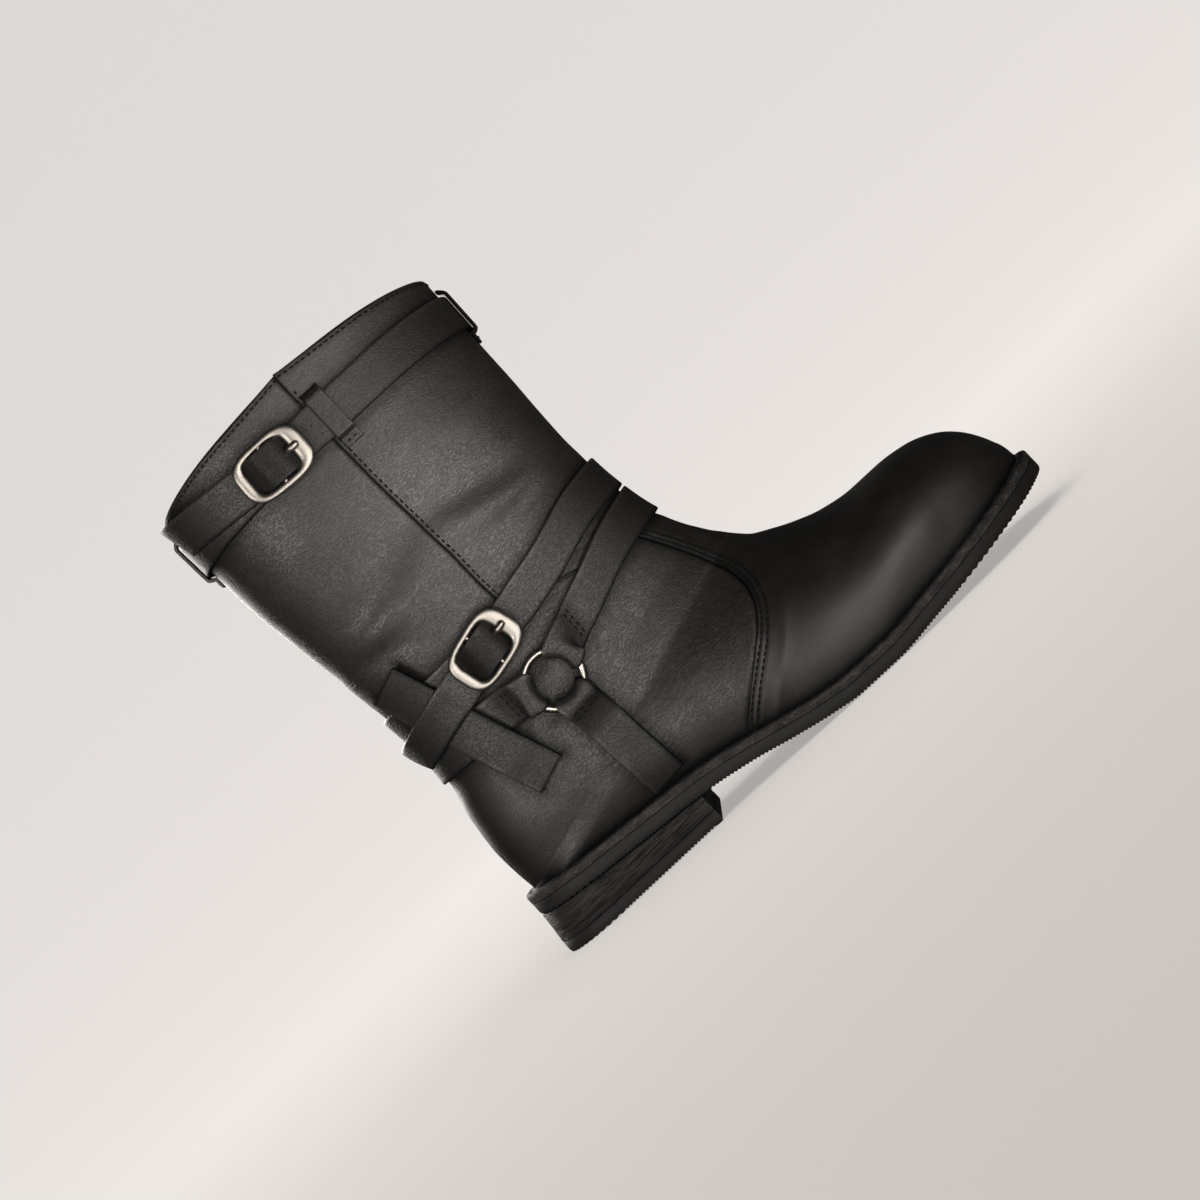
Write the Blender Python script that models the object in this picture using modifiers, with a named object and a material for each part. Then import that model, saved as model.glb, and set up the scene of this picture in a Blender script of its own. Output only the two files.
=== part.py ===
"""A right mid-calf harness boot: hollow upper, welted sole, stacked heel, buckled straps and ring harness.

Metres, +Z up, +X to the toe, +Y to the inner side. The boot stands on heel and forefoot at z = 0, and the
origin is at the bottom centre of its box. Inside this file places are in millimetres, measured along from the
back of the heel, and are turned into metres in the part's own frame when a mesh is made.
"""

import math
from bisect import bisect_right
from collections import namedtuple

import bmesh
import bpy
from mathutils import Matrix, Vector
from mathutils.bvhtree import BVHTree

METRES = 0.001
ORIGIN = Vector((137.6, -2.2, 0.0))
GAP = 0.3
FEATHER_GAP = 0.5

# Sole sizes
OUTSOLE_THICK = 6.0
WELT_THICK = 3.8
WELT_DEPTH = 11.0
HEEL_BREAST = 86.5
HEEL_LEAN = 1.6
LIFT_THICK = 5.6
INSOLE_THICK = 3.0
INSOLE_INSET = 4.8
HEEL_ROUND = 33.0
TOE_START = 222.0
TOE_END = 282.0
TOE_POWER = 2.15
FEATHER_INSET = 5.4

# Leather and metal sizes
WALL = 2.2
STRAP_WIDTH = 17.2
STRAP_THICK = 1.7
KEEPER_THICK = 1.5
RING_RADIUS = 12.3
WIRE_RADIUS = 1.8
RING_ALONG = 76.0
RING_HEIGHT = 89.8
BUCKLE_LONG = 34.0
BUCKLE_HIGH = 23.4
BUCKLE_THICK = 2.6
BUCKLE_EDGE = 0.6
BUCKLE_BAR_RADIUS = 1.1
BAR_CLEARANCE = 0.8
BUCKLE_WINDOW_LONG = 21.6
BUCKLE_WINDOW_HIGH = 16.6
BUCKLE_SQUEEZE = 0.85
BUCKLE_WINDOW_SHIFT = -0.9
BUCKLE_TILT = math.radians(3.5)
PRONG_RADIUS = 1.1
PRONG_HOLE = 6.6
HOLE_RADIUS = 3.4
HOLE_DEPTH = 9.0
KEEPER_WIDTH = 8.6
KEEPER_ALONG = 84.8
SKIN_LIFT = 0.8
SHAFT_START = 160.0
LEAF_HEIGHT = SKIN_LIFT + STRAP_THICK / 2
COLLAR_BAR_HEIGHT = SKIN_LIFT + 4.9
ANKLE_BAR_HEIGHT = SKIN_LIFT + 5.8
SECOND_HEIGHT = LEAF_HEIGHT + STRAP_THICK + GAP
TAB_HEIGHT = SECOND_HEIGHT + 0.4
THIRD_HEIGHT = TAB_HEIGHT + STRAP_THICK + GAP + 0.4
LEAF_LONG = 9.0
FOLD_RADIUS = WIRE_RADIUS + 1.5 * GAP + STRAP_THICK / 2
LEAF_RAMP = 4.0
STRAP_PITCH = 9.0
HARNESS_PITCH = 7.5
FOLD_STEPS = 4
FIVE_ACROSS = (-1, -0.5, 0, 0.5, 1)
THREE_ACROSS = (-1, 0, 1)

# The sole's outline and its underside, from heel to toe
SoleStation = namedtuple("SoleStation", "along bottom outer inner")
SOLE = [
    SoleStation(0, 20.4, 34.0, 33.5),
    SoleStation(34, 17.6, 34.2, 33.6),
    SoleStation(62, 15.3, 35.0, 33.0),
    SoleStation(88, 13.1, 36.6, 31.6),
    SoleStation(112, 9.3, 39.4, 32.2),
    SoleStation(132, 4.9, 43.4, 36.0),
    SoleStation(150, 1.6, 47.6, 41.4),
    SoleStation(164, 0.0, 50.4, 45.8),
    SoleStation(184, 0.0, 52.2, 50.0),
    SoleStation(206, 2.2, 51.2, 51.4),
    SoleStation(228, 4.8, 48.0, 50.4),
    SoleStation(248, 7.6, 45.4, 49.0),
    SoleStation(268, 10.8, 43.6, 48.0),
    SoleStation(282, 13.8, 42.6, 47.6),
]

# The upper's sections, from collar to toe. Each lies in the plane through its front point and its low point.
# A section whose low height is 0 ends on the feather line, where the upper meets the welt.
Section = namedtuple(
    "Section", "front front_z low low_z outer inner widest crown base crest rise step"
)
SECTIONS = [
    Section(147.8, 246.5, -3.2, 248.0, 47.5, 47.0, 0.54, 2.20, 2.20, 0, 6.8, 0.6),
    Section(147.0, 220.0, -1.8, 220.0, 46.5, 46.0, 0.54, 2.20, 2.20, 0, 4.0, 0.6),
    Section(145.8, 190.0, 0.5, 190.0, 44.5, 44.0, 0.54, 2.15, 2.15, 0, 1.0, 0.6),
    Section(145.0, 160.0, 4.4, 160.0, 41.5, 41.0, 0.54, 2.10, 2.10, 0, 0, 0.6),
    Section(145.6, 142.0, 7.0, 139.0, 39.0, 38.5, 0.53, 2.05, 2.10, 0, 0, 0.6),
    Section(147.2, 128.5, 9.6, 122.0, 37.5, 37.0, 0.52, 2.00, 2.10, 0, 0, 0),
    Section(150.0, 115.0, 11.0, 105.0, 36.5, 36.0, 0.50, 1.95, 2.10, 1, 0, 0),
    Section(153.0, 106.5, 10.0, 88.0, 36.0, 35.5, 0.48, 1.95, 2.15, 2, 0, 1),
    Section(156.6, 99.0, 6.0, 71.0, 35.8, 35.2, 0.46, 1.95, 2.20, 3, 0, 1),
    Section(160.2, 93.0, 3.9, 52.0, 35.6, 35.0, 0.45, 1.95, 2.25, 4, 0, 1.1),
    Section(163.4, 88.2, 4.4, 40.0, 35.6, 34.8, 0.45, 1.95, 2.25, 4, 0, 1.1),
    Section(165.6, 85.6, 5.4, 31.0, 35.6, 34.6, 0.45, 1.95, 2.25, 4, 0, 1.1),
    Section(168.2, 82.4, 12.0, 0, 35.8, 34.4, 0.45, 1.95, 2.25, 5, 0, 1.1),
    Section(171.8, 78.8, 30.0, 0, 36.2, 34.2, 0.46, 1.95, 2.25, 5, 0, 1.1),
    Section(176.4, 74.9, 62.0, 0, 37.4, 34.4, 0.48, 1.95, 2.20, 5, 0, 1.1),
    Section(183.0, 70.9, 98.0, 0, 40.0, 35.4, 0.46, 2.00, 2.20, 5, 0, 1.1),
    Section(192.0, 66.6, 132.0, 0, 44.0, 39.6, 0.42, 2.05, 2.20, 5, 0, 1.1),
    Section(204.0, 62.4, 160.0, 0, 47.4, 45.0, 0.38, 2.10, 2.20, 5, 0, 1.1),
    Section(219.0, 60.0, 190.0, 0, 48.4, 48.2, 0.36, 2.20, 2.20, 5, 0, 1.1),
    Section(234.0, 59.8, 216.0, 0, 45.6, 48.0, 0.36, 2.30, 2.20, 4, 0, 1.1),
    Section(248.0, 58.0, 238.0, 0, 39.4, 43.0, 0.36, 2.35, 2.20, 4, 0, 1.1),
    Section(260.0, 53.0, 254.0, 0, 30.8, 34.0, 0.36, 2.35, 2.20, 3, 0, 1.1),
    Section(268.6, 44.8, 266.0, 0, 20.6, 22.6, 0.38, 2.30, 2.20, 3, 0, 1.1),
    Section(273.8, 35.4, 272.8, 0, 12.0, 13.0, 0.40, 2.20, 2.20, 3, 0, 1.1),
    Section(275.8, 29.4, 275.5, 0, 6.4, 6.8, 0.45, 2.10, 2.20, 2, 0, 1.1),
    Section(276.6, 0, 276.6, 0, 0, 0, 0.50, 2.00, 2.20, 0, 0, 1.1),
]
FINE_ROWS = (5, 20)
VAMP_FOOT_ROWS = (14.5, 16)
VAMP_TURN = 60
SEAM_END_ROW = 4
VAMP_TOP_ROW = 7.5
REAR_STEPS = 8
REAR_CROWD = 1.25
LOW_STEPS = 3
CROWN_STEPS = 6
FRONT_STEPS = LOW_STEPS + CROWN_STEPS
STEP_TURN = 0.012

# The rear edge of the vamp on each side, from the welt up to the instep
VampEdge = namedtuple("VampEdge", "height along")
VAMP_EDGE = [
    VampEdge(21, 119.5),
    VampEdge(26, 125),
    VampEdge(32, 132),
    VampEdge(38.5, 139.5),
    VampEdge(45, 147.6),
    VampEdge(51, 153.4),
    VampEdge(57, 157.2),
    VampEdge(64, 158.8),
    VampEdge(70, 158.2),
    VampEdge(81, 154.4),
    VampEdge(94.5, 147.8),
    VampEdge(107, 141),
    VampEdge(116, 136),
]

# Centre lines of the straps that go round the leg: height at a place along, the same on both sides
# unless a second table gives the inner side
StrapLine = namedtuple("StrapLine", "along height")
COLLAR_LINE = [
    StrapLine(-6, 229.2),
    StrapLine(20, 230.6),
    StrapLine(55, 230.9),
    StrapLine(90, 230.0),
    StrapLine(120, 230.2),
    StrapLine(150, 229.2),
]
COLLAR_TAIL_LINE = [
    StrapLine(-6, 239.8),
    StrapLine(8, 237.4),
    StrapLine(31, 233.6),
    StrapLine(55, 230.9),
    StrapLine(90, 230.0),
    StrapLine(120, 230.2),
]
ANKLE_LINE = [
    StrapLine(8, 116.9),
    StrapLine(40, 117.2),
    StrapLine(65, 118.2),
    StrapLine(82, 121.4),
    StrapLine(106, 126.8),
    StrapLine(130, 134.4),
    StrapLine(148, 137.4),
]
ANKLE_TAIL_LINE = [
    StrapLine(8, 101.2),
    StrapLine(16, 104.4),
    StrapLine(27, 108.0),
    StrapLine(37, 110.8),
    StrapLine(50, 113.8),
    StrapLine(65, 118.2),
    StrapLine(82, 121.4),
    StrapLine(106, 126.8),
    StrapLine(130, 134.4),
]
INSTEP_LINE = [
    StrapLine(70, 85.6),
    StrapLine(76, 89.8),
    StrapLine(95, 100.0),
    StrapLine(110, 105.8),
    StrapLine(131, 114.2),
    StrapLine(152, 119.4),
]
HEEL_LINE = [
    StrapLine(8, 97.0),
    StrapLine(35, 95.6),
    StrapLine(66, 92.6),
    StrapLine(76, 89.8),
    StrapLine(84, 87.0),
]
SOLE_STRAP_TOP = (76.4, 89.8)
SOLE_STRAP_FOOT = (82.0, 27.6)
TAB_TOP = (23.6, 136.4)
TAB_FOOT = (48.2, 61.8)
TAB_WIDTH = 18.0
AXIS_ALONG = 76.0

# A buckled strap's rise over its bar: places ahead of the bar, and the share of the rise reached there
HumpStep = namedtuple("HumpStep", "ahead share")
BUCKLE_HUMP = [
    HumpStep(-17, 0),
    HumpStep(-11, 0.03),
    HumpStep(-6, 0.5),
    HumpStep(-2.5, 0.9),
    HumpStep(0, 1),
    HumpStep(2.5, 0.93),
    HumpStep(6.5, 0.5),
    HumpStep(11, 0.03),
]
HUMP_START = 24.0

# A prong's middle line, from the buckle's bar to its tip over the frame
ProngStep = namedtuple("ProngStep", "ahead out")
PRONG_PATH = [
    ProngStep(1.8, -1.0),
    ProngStep(4.6, -0.6),
    ProngStep(7.4, 0.9),
    ProngStep(10.2, 2.7),
    ProngStep(15.2, 2.7),
]

# A collar keeper from its foot to its top, and the share of its bridge over the strap reached there
KeeperStep = namedtuple("KeeperStep", "up share")
KEEPER_STEPS = [
    KeeperStep(0, 0),
    KeeperStep(4.5, 0),
    KeeperStep(6.2, 1),
    KeeperStep(15.5, 1),
    KeeperStep(24.8, 1),
    KeeperStep(26.2, 0.4),
]
KEEPER_FOOT = 15.5
KEEPER_TOP = 11.0

# How far straps rise over the front leather's step, between two places along
StepLift = namedtuple("StepLift", "behind ahead lift")
PANEL_LIFT = StepLift(70, 78, 0.6)
VAMP_LIFT = StepLift(76, 104, 1.0)

COLLAR_BUCKLE_ALONG = 55.0
ANKLE_BUCKLE_ALONG = 65.0
COLLAR_HEIGHT = 230.5
ANKLE_HEIGHT = 118.0
COLLAR_TAIL = 62.0
ANKLE_TAIL = 61.0
COLLAR_TAIL_SKEW = 3.3
ANKLE_TAIL_SKEW = 6.5
FIRST_LAP = 200.0


def smooth(places, values):
    """A cubic through the points that never overshoots them, held level beyond both ends."""
    rises = [(b - a) / (q - p) for a, b, p, q in zip(values, values[1:], places, places[1:])]
    inner = [2 * s * t / (s + t) if s * t > 0 else 0.0 for s, t in zip(rises, rises[1:])]
    slopes = [rises[0]] + inner + [rises[-1]]

    def at(place):
        place = min(max(place, places[0]), places[-1])
        i = min(bisect_right(places, place) - 1, len(places) - 2)
        span = places[i + 1] - places[i]
        t = (place - places[i]) / span
        start = values[i] * (1 + 2 * t) + slopes[i] * span * t
        end = values[i + 1] * (3 - 2 * t) + slopes[i + 1] * span * (t - 1)
        return start * (1 - t) ** 2 + end * t**2

    return at


def column(rows, place, value):
    """One column of a table as a smooth function of another."""
    return smooth([getattr(row, place) for row in rows], [getattr(row, value) for row in rows])


sole_bottom = column(SOLE, "along", "bottom")
sole_half = {-1: column(SOLE, "along", "outer"), 1: column(SOLE, "along", "inner")}
section_at = {
    name: smooth(range(len(SECTIONS)), [getattr(row, name) for row in SECTIONS])
    for name in Section._fields
}
vamp_edge_at = column(VAMP_EDGE, "height", "along")


def welt_top(along):
    return sole_bottom(along) + OUTSOLE_THICK + GAP + WELT_THICK


def feather_height(along):
    return welt_top(along) + FEATHER_GAP


def outline_half(side, along, inset=0.0):
    """Half the width of the sole's outline on one side, moved in by the inset, with round heel and toe ends."""
    half = sole_half[side](along) - inset
    heel_gone = 1 - (along - inset) / (HEEL_ROUND - inset)
    if heel_gone > 0:
        return half * math.sqrt(max(0.0, 1 - heel_gone**2))
    toe_gone = (along - TOE_START) / (TOE_END - inset - TOE_START)
    if toe_gone > 0:
        return half * max(0.0, 1 - toe_gone**TOE_POWER) ** (1 / TOE_POWER)
    return half


def outline_stations(inset, start=None, end=None):
    """Places along the outline, close together at its round ends."""
    heel = [inset + (HEEL_ROUND - inset) * (1 - math.cos(math.pi / 2 * k / 6)) for k in range(6)]
    middle = [HEEL_ROUND + 11, 58, 72, 88, 104, 120, 136, 150, 164, 174, 184, 196, 209]
    reach = TOE_END - inset - TOE_START
    toe = [TOE_START + reach * math.sin(math.pi / 2 * k / 7) for k in range(8)]
    places = heel + [HEEL_ROUND] + middle + toe
    if end is not None:
        places = [place for place in places if place < end - 2] + [end]
    if start is not None:
        places = [start] + [place for place in places if place > start + 2]
    return places


def new_object(name, verts, faces, material):
    """A mesh object from points in millimetres, in the part's own frame and facing out."""
    mesh = bpy.data.meshes.new(name)
    mesh.from_pydata([(Vector(v) - ORIGIN) * METRES for v in verts], [], faces)
    work = bmesh.new()
    work.from_mesh(mesh)
    bmesh.ops.remove_doubles(work, verts=work.verts, dist=2e-6)
    bmesh.ops.recalc_face_normals(work, faces=work.faces)
    work.to_mesh(mesh)
    work.free()
    mesh.materials.append(material)
    mesh.shade_smooth()
    mesh.set_sharp_from_angle(angle=math.radians(35))
    made = bpy.data.objects.new(name, mesh)
    boot.objects.link(made)
    made.parent = root
    return made


def grid_faces(rows, columns, wrap_rows=False, wrap_columns=False):
    """Four-sided faces of a grid of points listed row by row."""
    faces = []
    for i in range(rows if wrap_rows else rows - 1):
        for j in range(columns if wrap_columns else columns - 1):
            a = i * columns + j
            b = i * columns + (j + 1) % columns
            below = ((i + 1) % rows) * columns
            faces.append((a, b, below + (j + 1) % columns, below + j))
    return faces


def make_plate(name, stations, half, bottom, top, material, shift=None):
    """A plate lofted along the sole: four corners at each station, shut at both ends."""
    verts = []
    for along in stations:
        low = along + (shift(along) if shift else 0.0)
        verts.append((low, -half(-1, along), bottom(along)))
        verts.append((along, -half(-1, along), top(along)))
        verts.append((along, half(1, along), top(along)))
        verts.append((low, half(1, along), bottom(along)))
    faces = grid_faces(len(stations), 4, wrap_columns=True)
    last = 4 * (len(stations) - 1)
    faces.append((3, 2, 1, 0))
    faces.append((last, last + 1, last + 2, last + 3))
    return new_object(name, verts, faces, material)


def make_sole(rubber, welt_leather, stack, insole_leather):
    """Outsole, welt, heel block, heel lift and insole."""

    def edge(side, along):
        return outline_half(side, along)

    make_plate("outsole", outline_stations(0), edge, sole_bottom,
               lambda along: sole_bottom(along) + OUTSOLE_THICK, rubber)

    def heel_shift(along):
        return -HEEL_LEAN * max(0.0, 1 - along / HEEL_BREAST)

    heel_stations = outline_stations(0, end=HEEL_BREAST)
    make_plate("heel_block", heel_stations, edge, lambda along: LIFT_THICK + GAP,
               lambda along: sole_bottom(along) - GAP, stack, heel_shift)
    lift = make_plate("heel_lift", heel_stations, edge, lambda along: 0.0,
                      lambda along: LIFT_THICK, rubber)
    for vertex in lift.data.vertices:
        vertex.co.x += heel_shift(vertex.co.x / METRES + ORIGIN.x) * METRES

    def insole_half(side, along):
        return outline_half(side, along, FEATHER_INSET + INSOLE_INSET)

    make_plate("insole", outline_stations(FEATHER_INSET + INSOLE_INSET), insole_half, feather_height,
               lambda along: feather_height(along) + INSOLE_THICK, insole_leather)
    make_welt(welt_leather)


def make_welt(material):
    """A strip all round the foot, with the upper's edge standing on it."""
    outer = outline_stations(0)
    inner = outline_stations(WELT_DEPTH)
    loop = []
    for side, order in ((-1, 1), (1, -1)):
        pairs = list(zip(outer, inner))[::order]
        loop += [(side, out, within) for out, within in pairs[:-1]]
    verts = []
    for side, out, within in loop:
        far = side * outline_half(side, out)
        near = side * outline_half(side, within, WELT_DEPTH)
        for along, across, rise in ((out, far, -WELT_THICK), (out, far, 0), (within, near, 0),
                                    (within, near, -WELT_THICK)):
            verts.append((along, across, welt_top(along) + rise))
    faces = grid_faces(len(loop), 4, wrap_rows=True, wrap_columns=True)
    new_object("welt", verts, faces, material)


def skin_point(row, side, angle):
    """A point of the upper's outside: row counts sections from the collar, angle runs from low to front."""
    size = {name: at(row) for name, at in section_at.items()}
    feather = feather_height(size["low"])
    low_z = max(size["low_z"], feather)
    front_z = max(size["front_z"], low_z)
    wide = size["outer"] if side < 0 else size["inner"]
    foot = outline_half(side, size["low"], FEATHER_INSET) if low_z <= feather + 0.01 else 0.0
    reach = abs(math.cos(angle))
    sine = math.sin(angle)
    if angle <= math.pi / 2:
        power = size["base"]
        share = size["widest"] * (1 - reach ** (2 / power))
        wide = max(wide, foot)
        half = (foot**power + (wide**power - foot**power) * sine**2) ** (1 / power)
    else:
        power = size["crown"]
        share = size["widest"] + (1 - size["widest"]) * reach ** (2 / power)
        half = max(wide, foot) * max(sine, 0.0) ** (2 / power)
    along = size["low"] + (size["front"] - size["low"]) * share
    height = low_z + (front_z - low_z) * share + size["rise"] * sine**2
    return Vector((along, size["crest"] * share**2 + side * half, height))


def skin_normal(row, side, angle):
    """The upper's outward direction there, kept level along the collar and the feather line."""
    last = len(SECTIONS) - 1
    turn = 0.02
    across = skin_point(row, side, min(angle + turn, math.pi)) - skin_point(row, side, max(angle - turn, 0))
    along = skin_point(min(row + turn, last), side, angle) - skin_point(max(row - turn, 0), side, angle)
    normal = across.cross(along) * side
    if angle > math.pi - turn or (angle < turn and section_at["low_z"](row) > 31):
        normal.y = 0.0
    if row < turn or (angle < turn and section_at["low_z"](row) <= 31):
        normal.z = 0.0
    return normal.normalized() if normal.length > 1e-9 else Vector((1, 0, 0))


def upper_rows():
    """Row numbers of the sections that make the mesh: more of them where the form turns."""
    rows = []
    for k in range(len(SECTIONS) - 1):
        rows.append(k)
        if FINE_ROWS[0] <= k < FINE_ROWS[1]:
            rows.append(k + 0.5)
    first, last = VAMP_FOOT_ROWS
    rows = [row for row in rows if not first < row < last]
    return sorted(rows + [edge_row(edge, first, last) for edge in VAMP_EDGE if edge.height < VAMP_TURN]
                  + [len(SECTIONS) - 1])


def edge_row(edge, first, last):
    """The section whose line passes through a point of the vamp's edge, found by halving."""
    for _ in range(30):
        middle = (first + last) / 2
        low = Vector((section_at["low"](middle), feather_height(section_at["low"](middle))))
        front = Vector((section_at["front"](middle), section_at["front_z"](middle)))
        share = (edge.along - low.x) / (front.x - low.x)
        if low.y + (front.y - low.y) * share > edge.height:
            first = middle
        else:
            last = middle
    return first


def step_angle(row, side):
    """Where a section crosses the edge of the front leather: the side seam of the shaft or the vamp's rear edge.
    In front of the vamp's foot it is 0, so that the whole section is vamp."""
    if row <= SEAM_END_ROW:
        return math.pi / 2
    if row < VAMP_TOP_ROW:
        share = (row - SEAM_END_ROW) / (VAMP_TOP_ROW - SEAM_END_ROW)
        return math.pi / 2 + (step_angle(VAMP_TOP_ROW, side) - math.pi / 2) * share
    low, high = 0.0, math.pi
    if in_vamp(skin_point(row, side, low)):
        return low
    for _ in range(24):
        middle = (low + high) / 2
        if in_vamp(skin_point(row, side, middle)):
            high = middle
        else:
            low = middle
    return high


def in_vamp(point):
    return point.x >= vamp_edge_at(point.z)


def side_columns(row, side):
    """Angles round one side with the lift of the leather there. The edge takes two columns, a step apart."""
    edge = step_angle(row, side)
    step = section_at["step"](row)
    behind = step if edge == 0 else 0.0
    rear = [(edge * (k / REAR_STEPS) ** REAR_CROWD, behind) for k in range(REAR_STEPS + 1)]
    ahead = edge + STEP_TURN if edge else 0.0
    even = [ahead + (math.pi - ahead) * k / FRONT_STEPS for k in range(FRONT_STEPS + 1)]
    low = [ahead + (math.pi / 2 - ahead) * k / LOW_STEPS for k in range(LOW_STEPS)]
    steady = low + [math.pi * (0.5 + 0.5 * k / CROWN_STEPS) for k in range(CROWN_STEPS + 1)]
    share = min(max(2 * (math.pi / 2 - edge), 0.0), 1.0)
    return rear + [(one + (two - one) * share, step) for one, two in zip(even, steady)]


def skin_ring(row, inside=False, plain=False):
    """The points of one section from the outer feather over the front to the inner feather."""
    ring = []
    for side in (-1, 1):
        columns = side_columns(row, side)
        for angle, lift in columns if side < 0 else columns[-2::-1]:
            lift = -WALL if inside else 0.0 if plain else lift
            ring.append(skin_point(row, side, angle) + skin_normal(row, side, angle) * lift)
    return ring


def make_upper(material):
    """One hollow wall, open at the collar and underneath, with front panel and vamp a step in its outside."""
    rows = upper_rows()
    outer = [skin_ring(row) for row in rows]
    inner = [skin_ring(row, inside=True) for row in rows]
    return make_shell("upper", outer, inner, material)


def make_shell(name, outer, inner, material):
    """Two skins of matching points, joined round every open edge. Points that coincide outside are one."""
    index = {}
    verts = []
    order = []
    for outer_row, inner_row in zip(outer, inner):
        for far, near in zip(outer_row, inner_row):
            key = tuple(round(value, 3) for value in far)
            if key not in index:
                index[key] = len(verts)
                verts.append((far, near))
            order.append(index[key])
    count = len(verts)
    faces = []
    for face in grid_faces(len(outer), len(outer[0])):
        corners = list(dict.fromkeys(order[k] for k in face))
        if len(corners) > 2:
            faces.append(corners)
    edges = {(a, b) for face in faces for a, b in zip(face, face[1:] + face[:1])}
    rim = [(b, a, a + count, b + count) for a, b in sorted(edges) if (b, a) not in edges]
    back = [[k + count for k in reversed(face)] for face in faces]
    points = [far for far, near in verts] + [near for far, near in verts]
    return new_object(name, points, faces + back + rim, material)


def skin_tree():
    """The upper's outside without its step, as a tree for casting rays from inside it."""
    rings = [skin_ring(row, plain=True) for row in upper_rows()]
    verts = [point for ring in rings for point in ring]
    return BVHTree.FromPolygons(verts, grid_faces(len(rings), len(rings[0])))


def skin_hit(along, angle, height):
    """The upper's outside met by a level ray from inside, and the outward direction there."""
    direction = Vector((math.cos(angle), math.sin(angle), 0))
    return skin_cast(Vector((along, 0, height)), direction)


def skin_cast(start, direction):
    """The skin met by a ray, raised over the front leather's step, and the outward direction there."""
    hit, normal, _, _ = skin.ray_cast(start, direction)
    if hit is None:
        raise ValueError(f"no skin from {start}")
    normal = normal if normal.dot(direction) > 0 else -normal
    steps = PANEL_LIFT if hit.z > SHAFT_START else VAMP_LIFT
    ahead = min(max((hit.x - steps.behind) / (steps.ahead - steps.behind), 0.0), 1.0)
    return hit + normal * ahead * steps.lift, normal


class Track:
    """A band on the upper's outside: three points across at each station, and the length along its middle."""

    def __init__(self, stations):
        self.stations = stations
        self.lengths = [0.0]
        for one, two in zip(stations, stations[1:]):
            self.lengths.append(self.lengths[-1] + (two[1][0] - one[1][0]).length)

    def at(self, length, across):
        """The point and direction at a length, on the lower edge (0), the middle (1) or the upper edge (2)."""
        i = min(max(bisect_right(self.lengths, length) - 1, 0), len(self.lengths) - 2)
        share = (length - self.lengths[i]) / (self.lengths[i + 1] - self.lengths[i])
        one, two = self.stations[i][across], self.stations[i + 1][across]
        return one[0].lerp(two[0], share), one[1].lerp(two[1], share).normalized()

    def station_at(self, target, after=0.0):
        """The station whose middle comes nearest to a point, past a length."""
        later = [i for i, length in enumerate(self.lengths) if length >= after]
        return min(later, key=lambda i: (self.stations[i][1][0] - target).length)

    def length_at(self, target, after=0.0):
        """The length of the middle's point nearest to a target."""
        i = min(self.station_at(target, after), len(self.stations) - 2)
        here = self.stations[i][1][0]
        ahead = (self.stations[i + 1][1][0] - here).normalized()
        return self.lengths[i] + (target - here).dot(ahead)


def girth_track(line, first, last, width=STRAP_WIDTH, tail=None):
    """A band round the leg between two angles, at the heights that the strap's line gives. Past a whole
    turn it follows the tail's line."""
    heights = column(line, "along", "height")
    tail_heights = column(tail, "along", "height") if tail else heights
    count = int(abs(last - first) / math.radians(1.5))
    stations = []
    for k in range(count + 1):
        angle = first + (last - first) * k / count
        along = AXIS_ALONG + 40 * math.cos(angle)
        over = tail and angle < -math.radians(50) - 2 * math.pi
        for _ in range(6):
            height = (tail_heights if over else heights)(along)
            along = skin_hit(AXIS_ALONG, angle, height)[0].x
        stations.append([skin_hit(AXIS_ALONG, angle, height + rise) for rise in (-width / 2, 0, width / 2)])
    return Track(stations)


def drop_track(top, foot, angle, width):
    """A band up the side of the boot, from a foot to a top place along and height."""
    lean = math.atan2(top[0] - foot[0], top[1] - foot[1])
    reach = Vector((math.cos(lean), -math.sin(lean))) * width / 2
    stations = []
    for k in range(25):
        share = k / 24
        along = foot[0] + (top[0] - foot[0]) * share
        height = foot[1] + (top[1] - foot[1]) * share
        stations.append([skin_hit(along + reach.x * t, angle, height + reach.y * t) for t in (-1, 0, 1)])
    return Track(stations)


def upright_track(along, angle, low, high, width):
    """A narrow band straight up the leg at one place round it."""
    ahead = Vector((-math.sin(angle), math.cos(angle)))
    stations = []
    for k in range(13):
        height = low + (high - low) * k / 12
        row = []
        for share in (-1, 0, 1):
            start = Vector((along, 0.0)) + ahead * share * width / 2
            direction = Vector((math.cos(angle), math.sin(angle), 0))
            row.append(skin_cast(Vector((start.x, start.y, height)), direction))
        stations.append(row)
    return Track(stations)


def track_row(track, length, height, skew=0.0, across=THREE_ACROSS, squeeze=1.0):
    """One row of a strap: points across it at a length along its track and a height over the skin."""
    row = []
    for share in across:
        edge = 2 if share > 0 else 0
        point, normal = track.at(length + skew * share, 1)
        side_point, side_normal = track.at(length + skew * share, edge)
        base = point.lerp(side_point, abs(share) * squeeze)
        row.append(base + normal.lerp(side_normal, abs(share)).normalized() * height)
    return row


def track_rows(track, profile, across=THREE_ACROSS):
    """Rows along a track from steps of length and height."""
    return [track_row(track, length, height, across=across) for length, height in profile]


def make_ribbon(name, rows, thick, material):
    """A strap as an open sheet of rows with an even thickness about it."""
    verts = [point for row in rows for point in row]
    made = new_object(name, verts, grid_faces(len(rows), len(rows[0])), material)
    wall = made.modifiers.new("Thickness", "SOLIDIFY")
    wall.thickness = thick * METRES
    wall.offset = 0.0
    wall.use_even_offset = True
    return made


def run(first, last, height, pitch=STRAP_PITCH):
    """Profile steps along a plain stretch, an even number of them so that one step is its middle."""
    count = max(2, 2 * round(abs(last - first) / pitch / 2))
    return [(first + (last - first) * k / count, height) for k in range(count + 1)]


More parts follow.
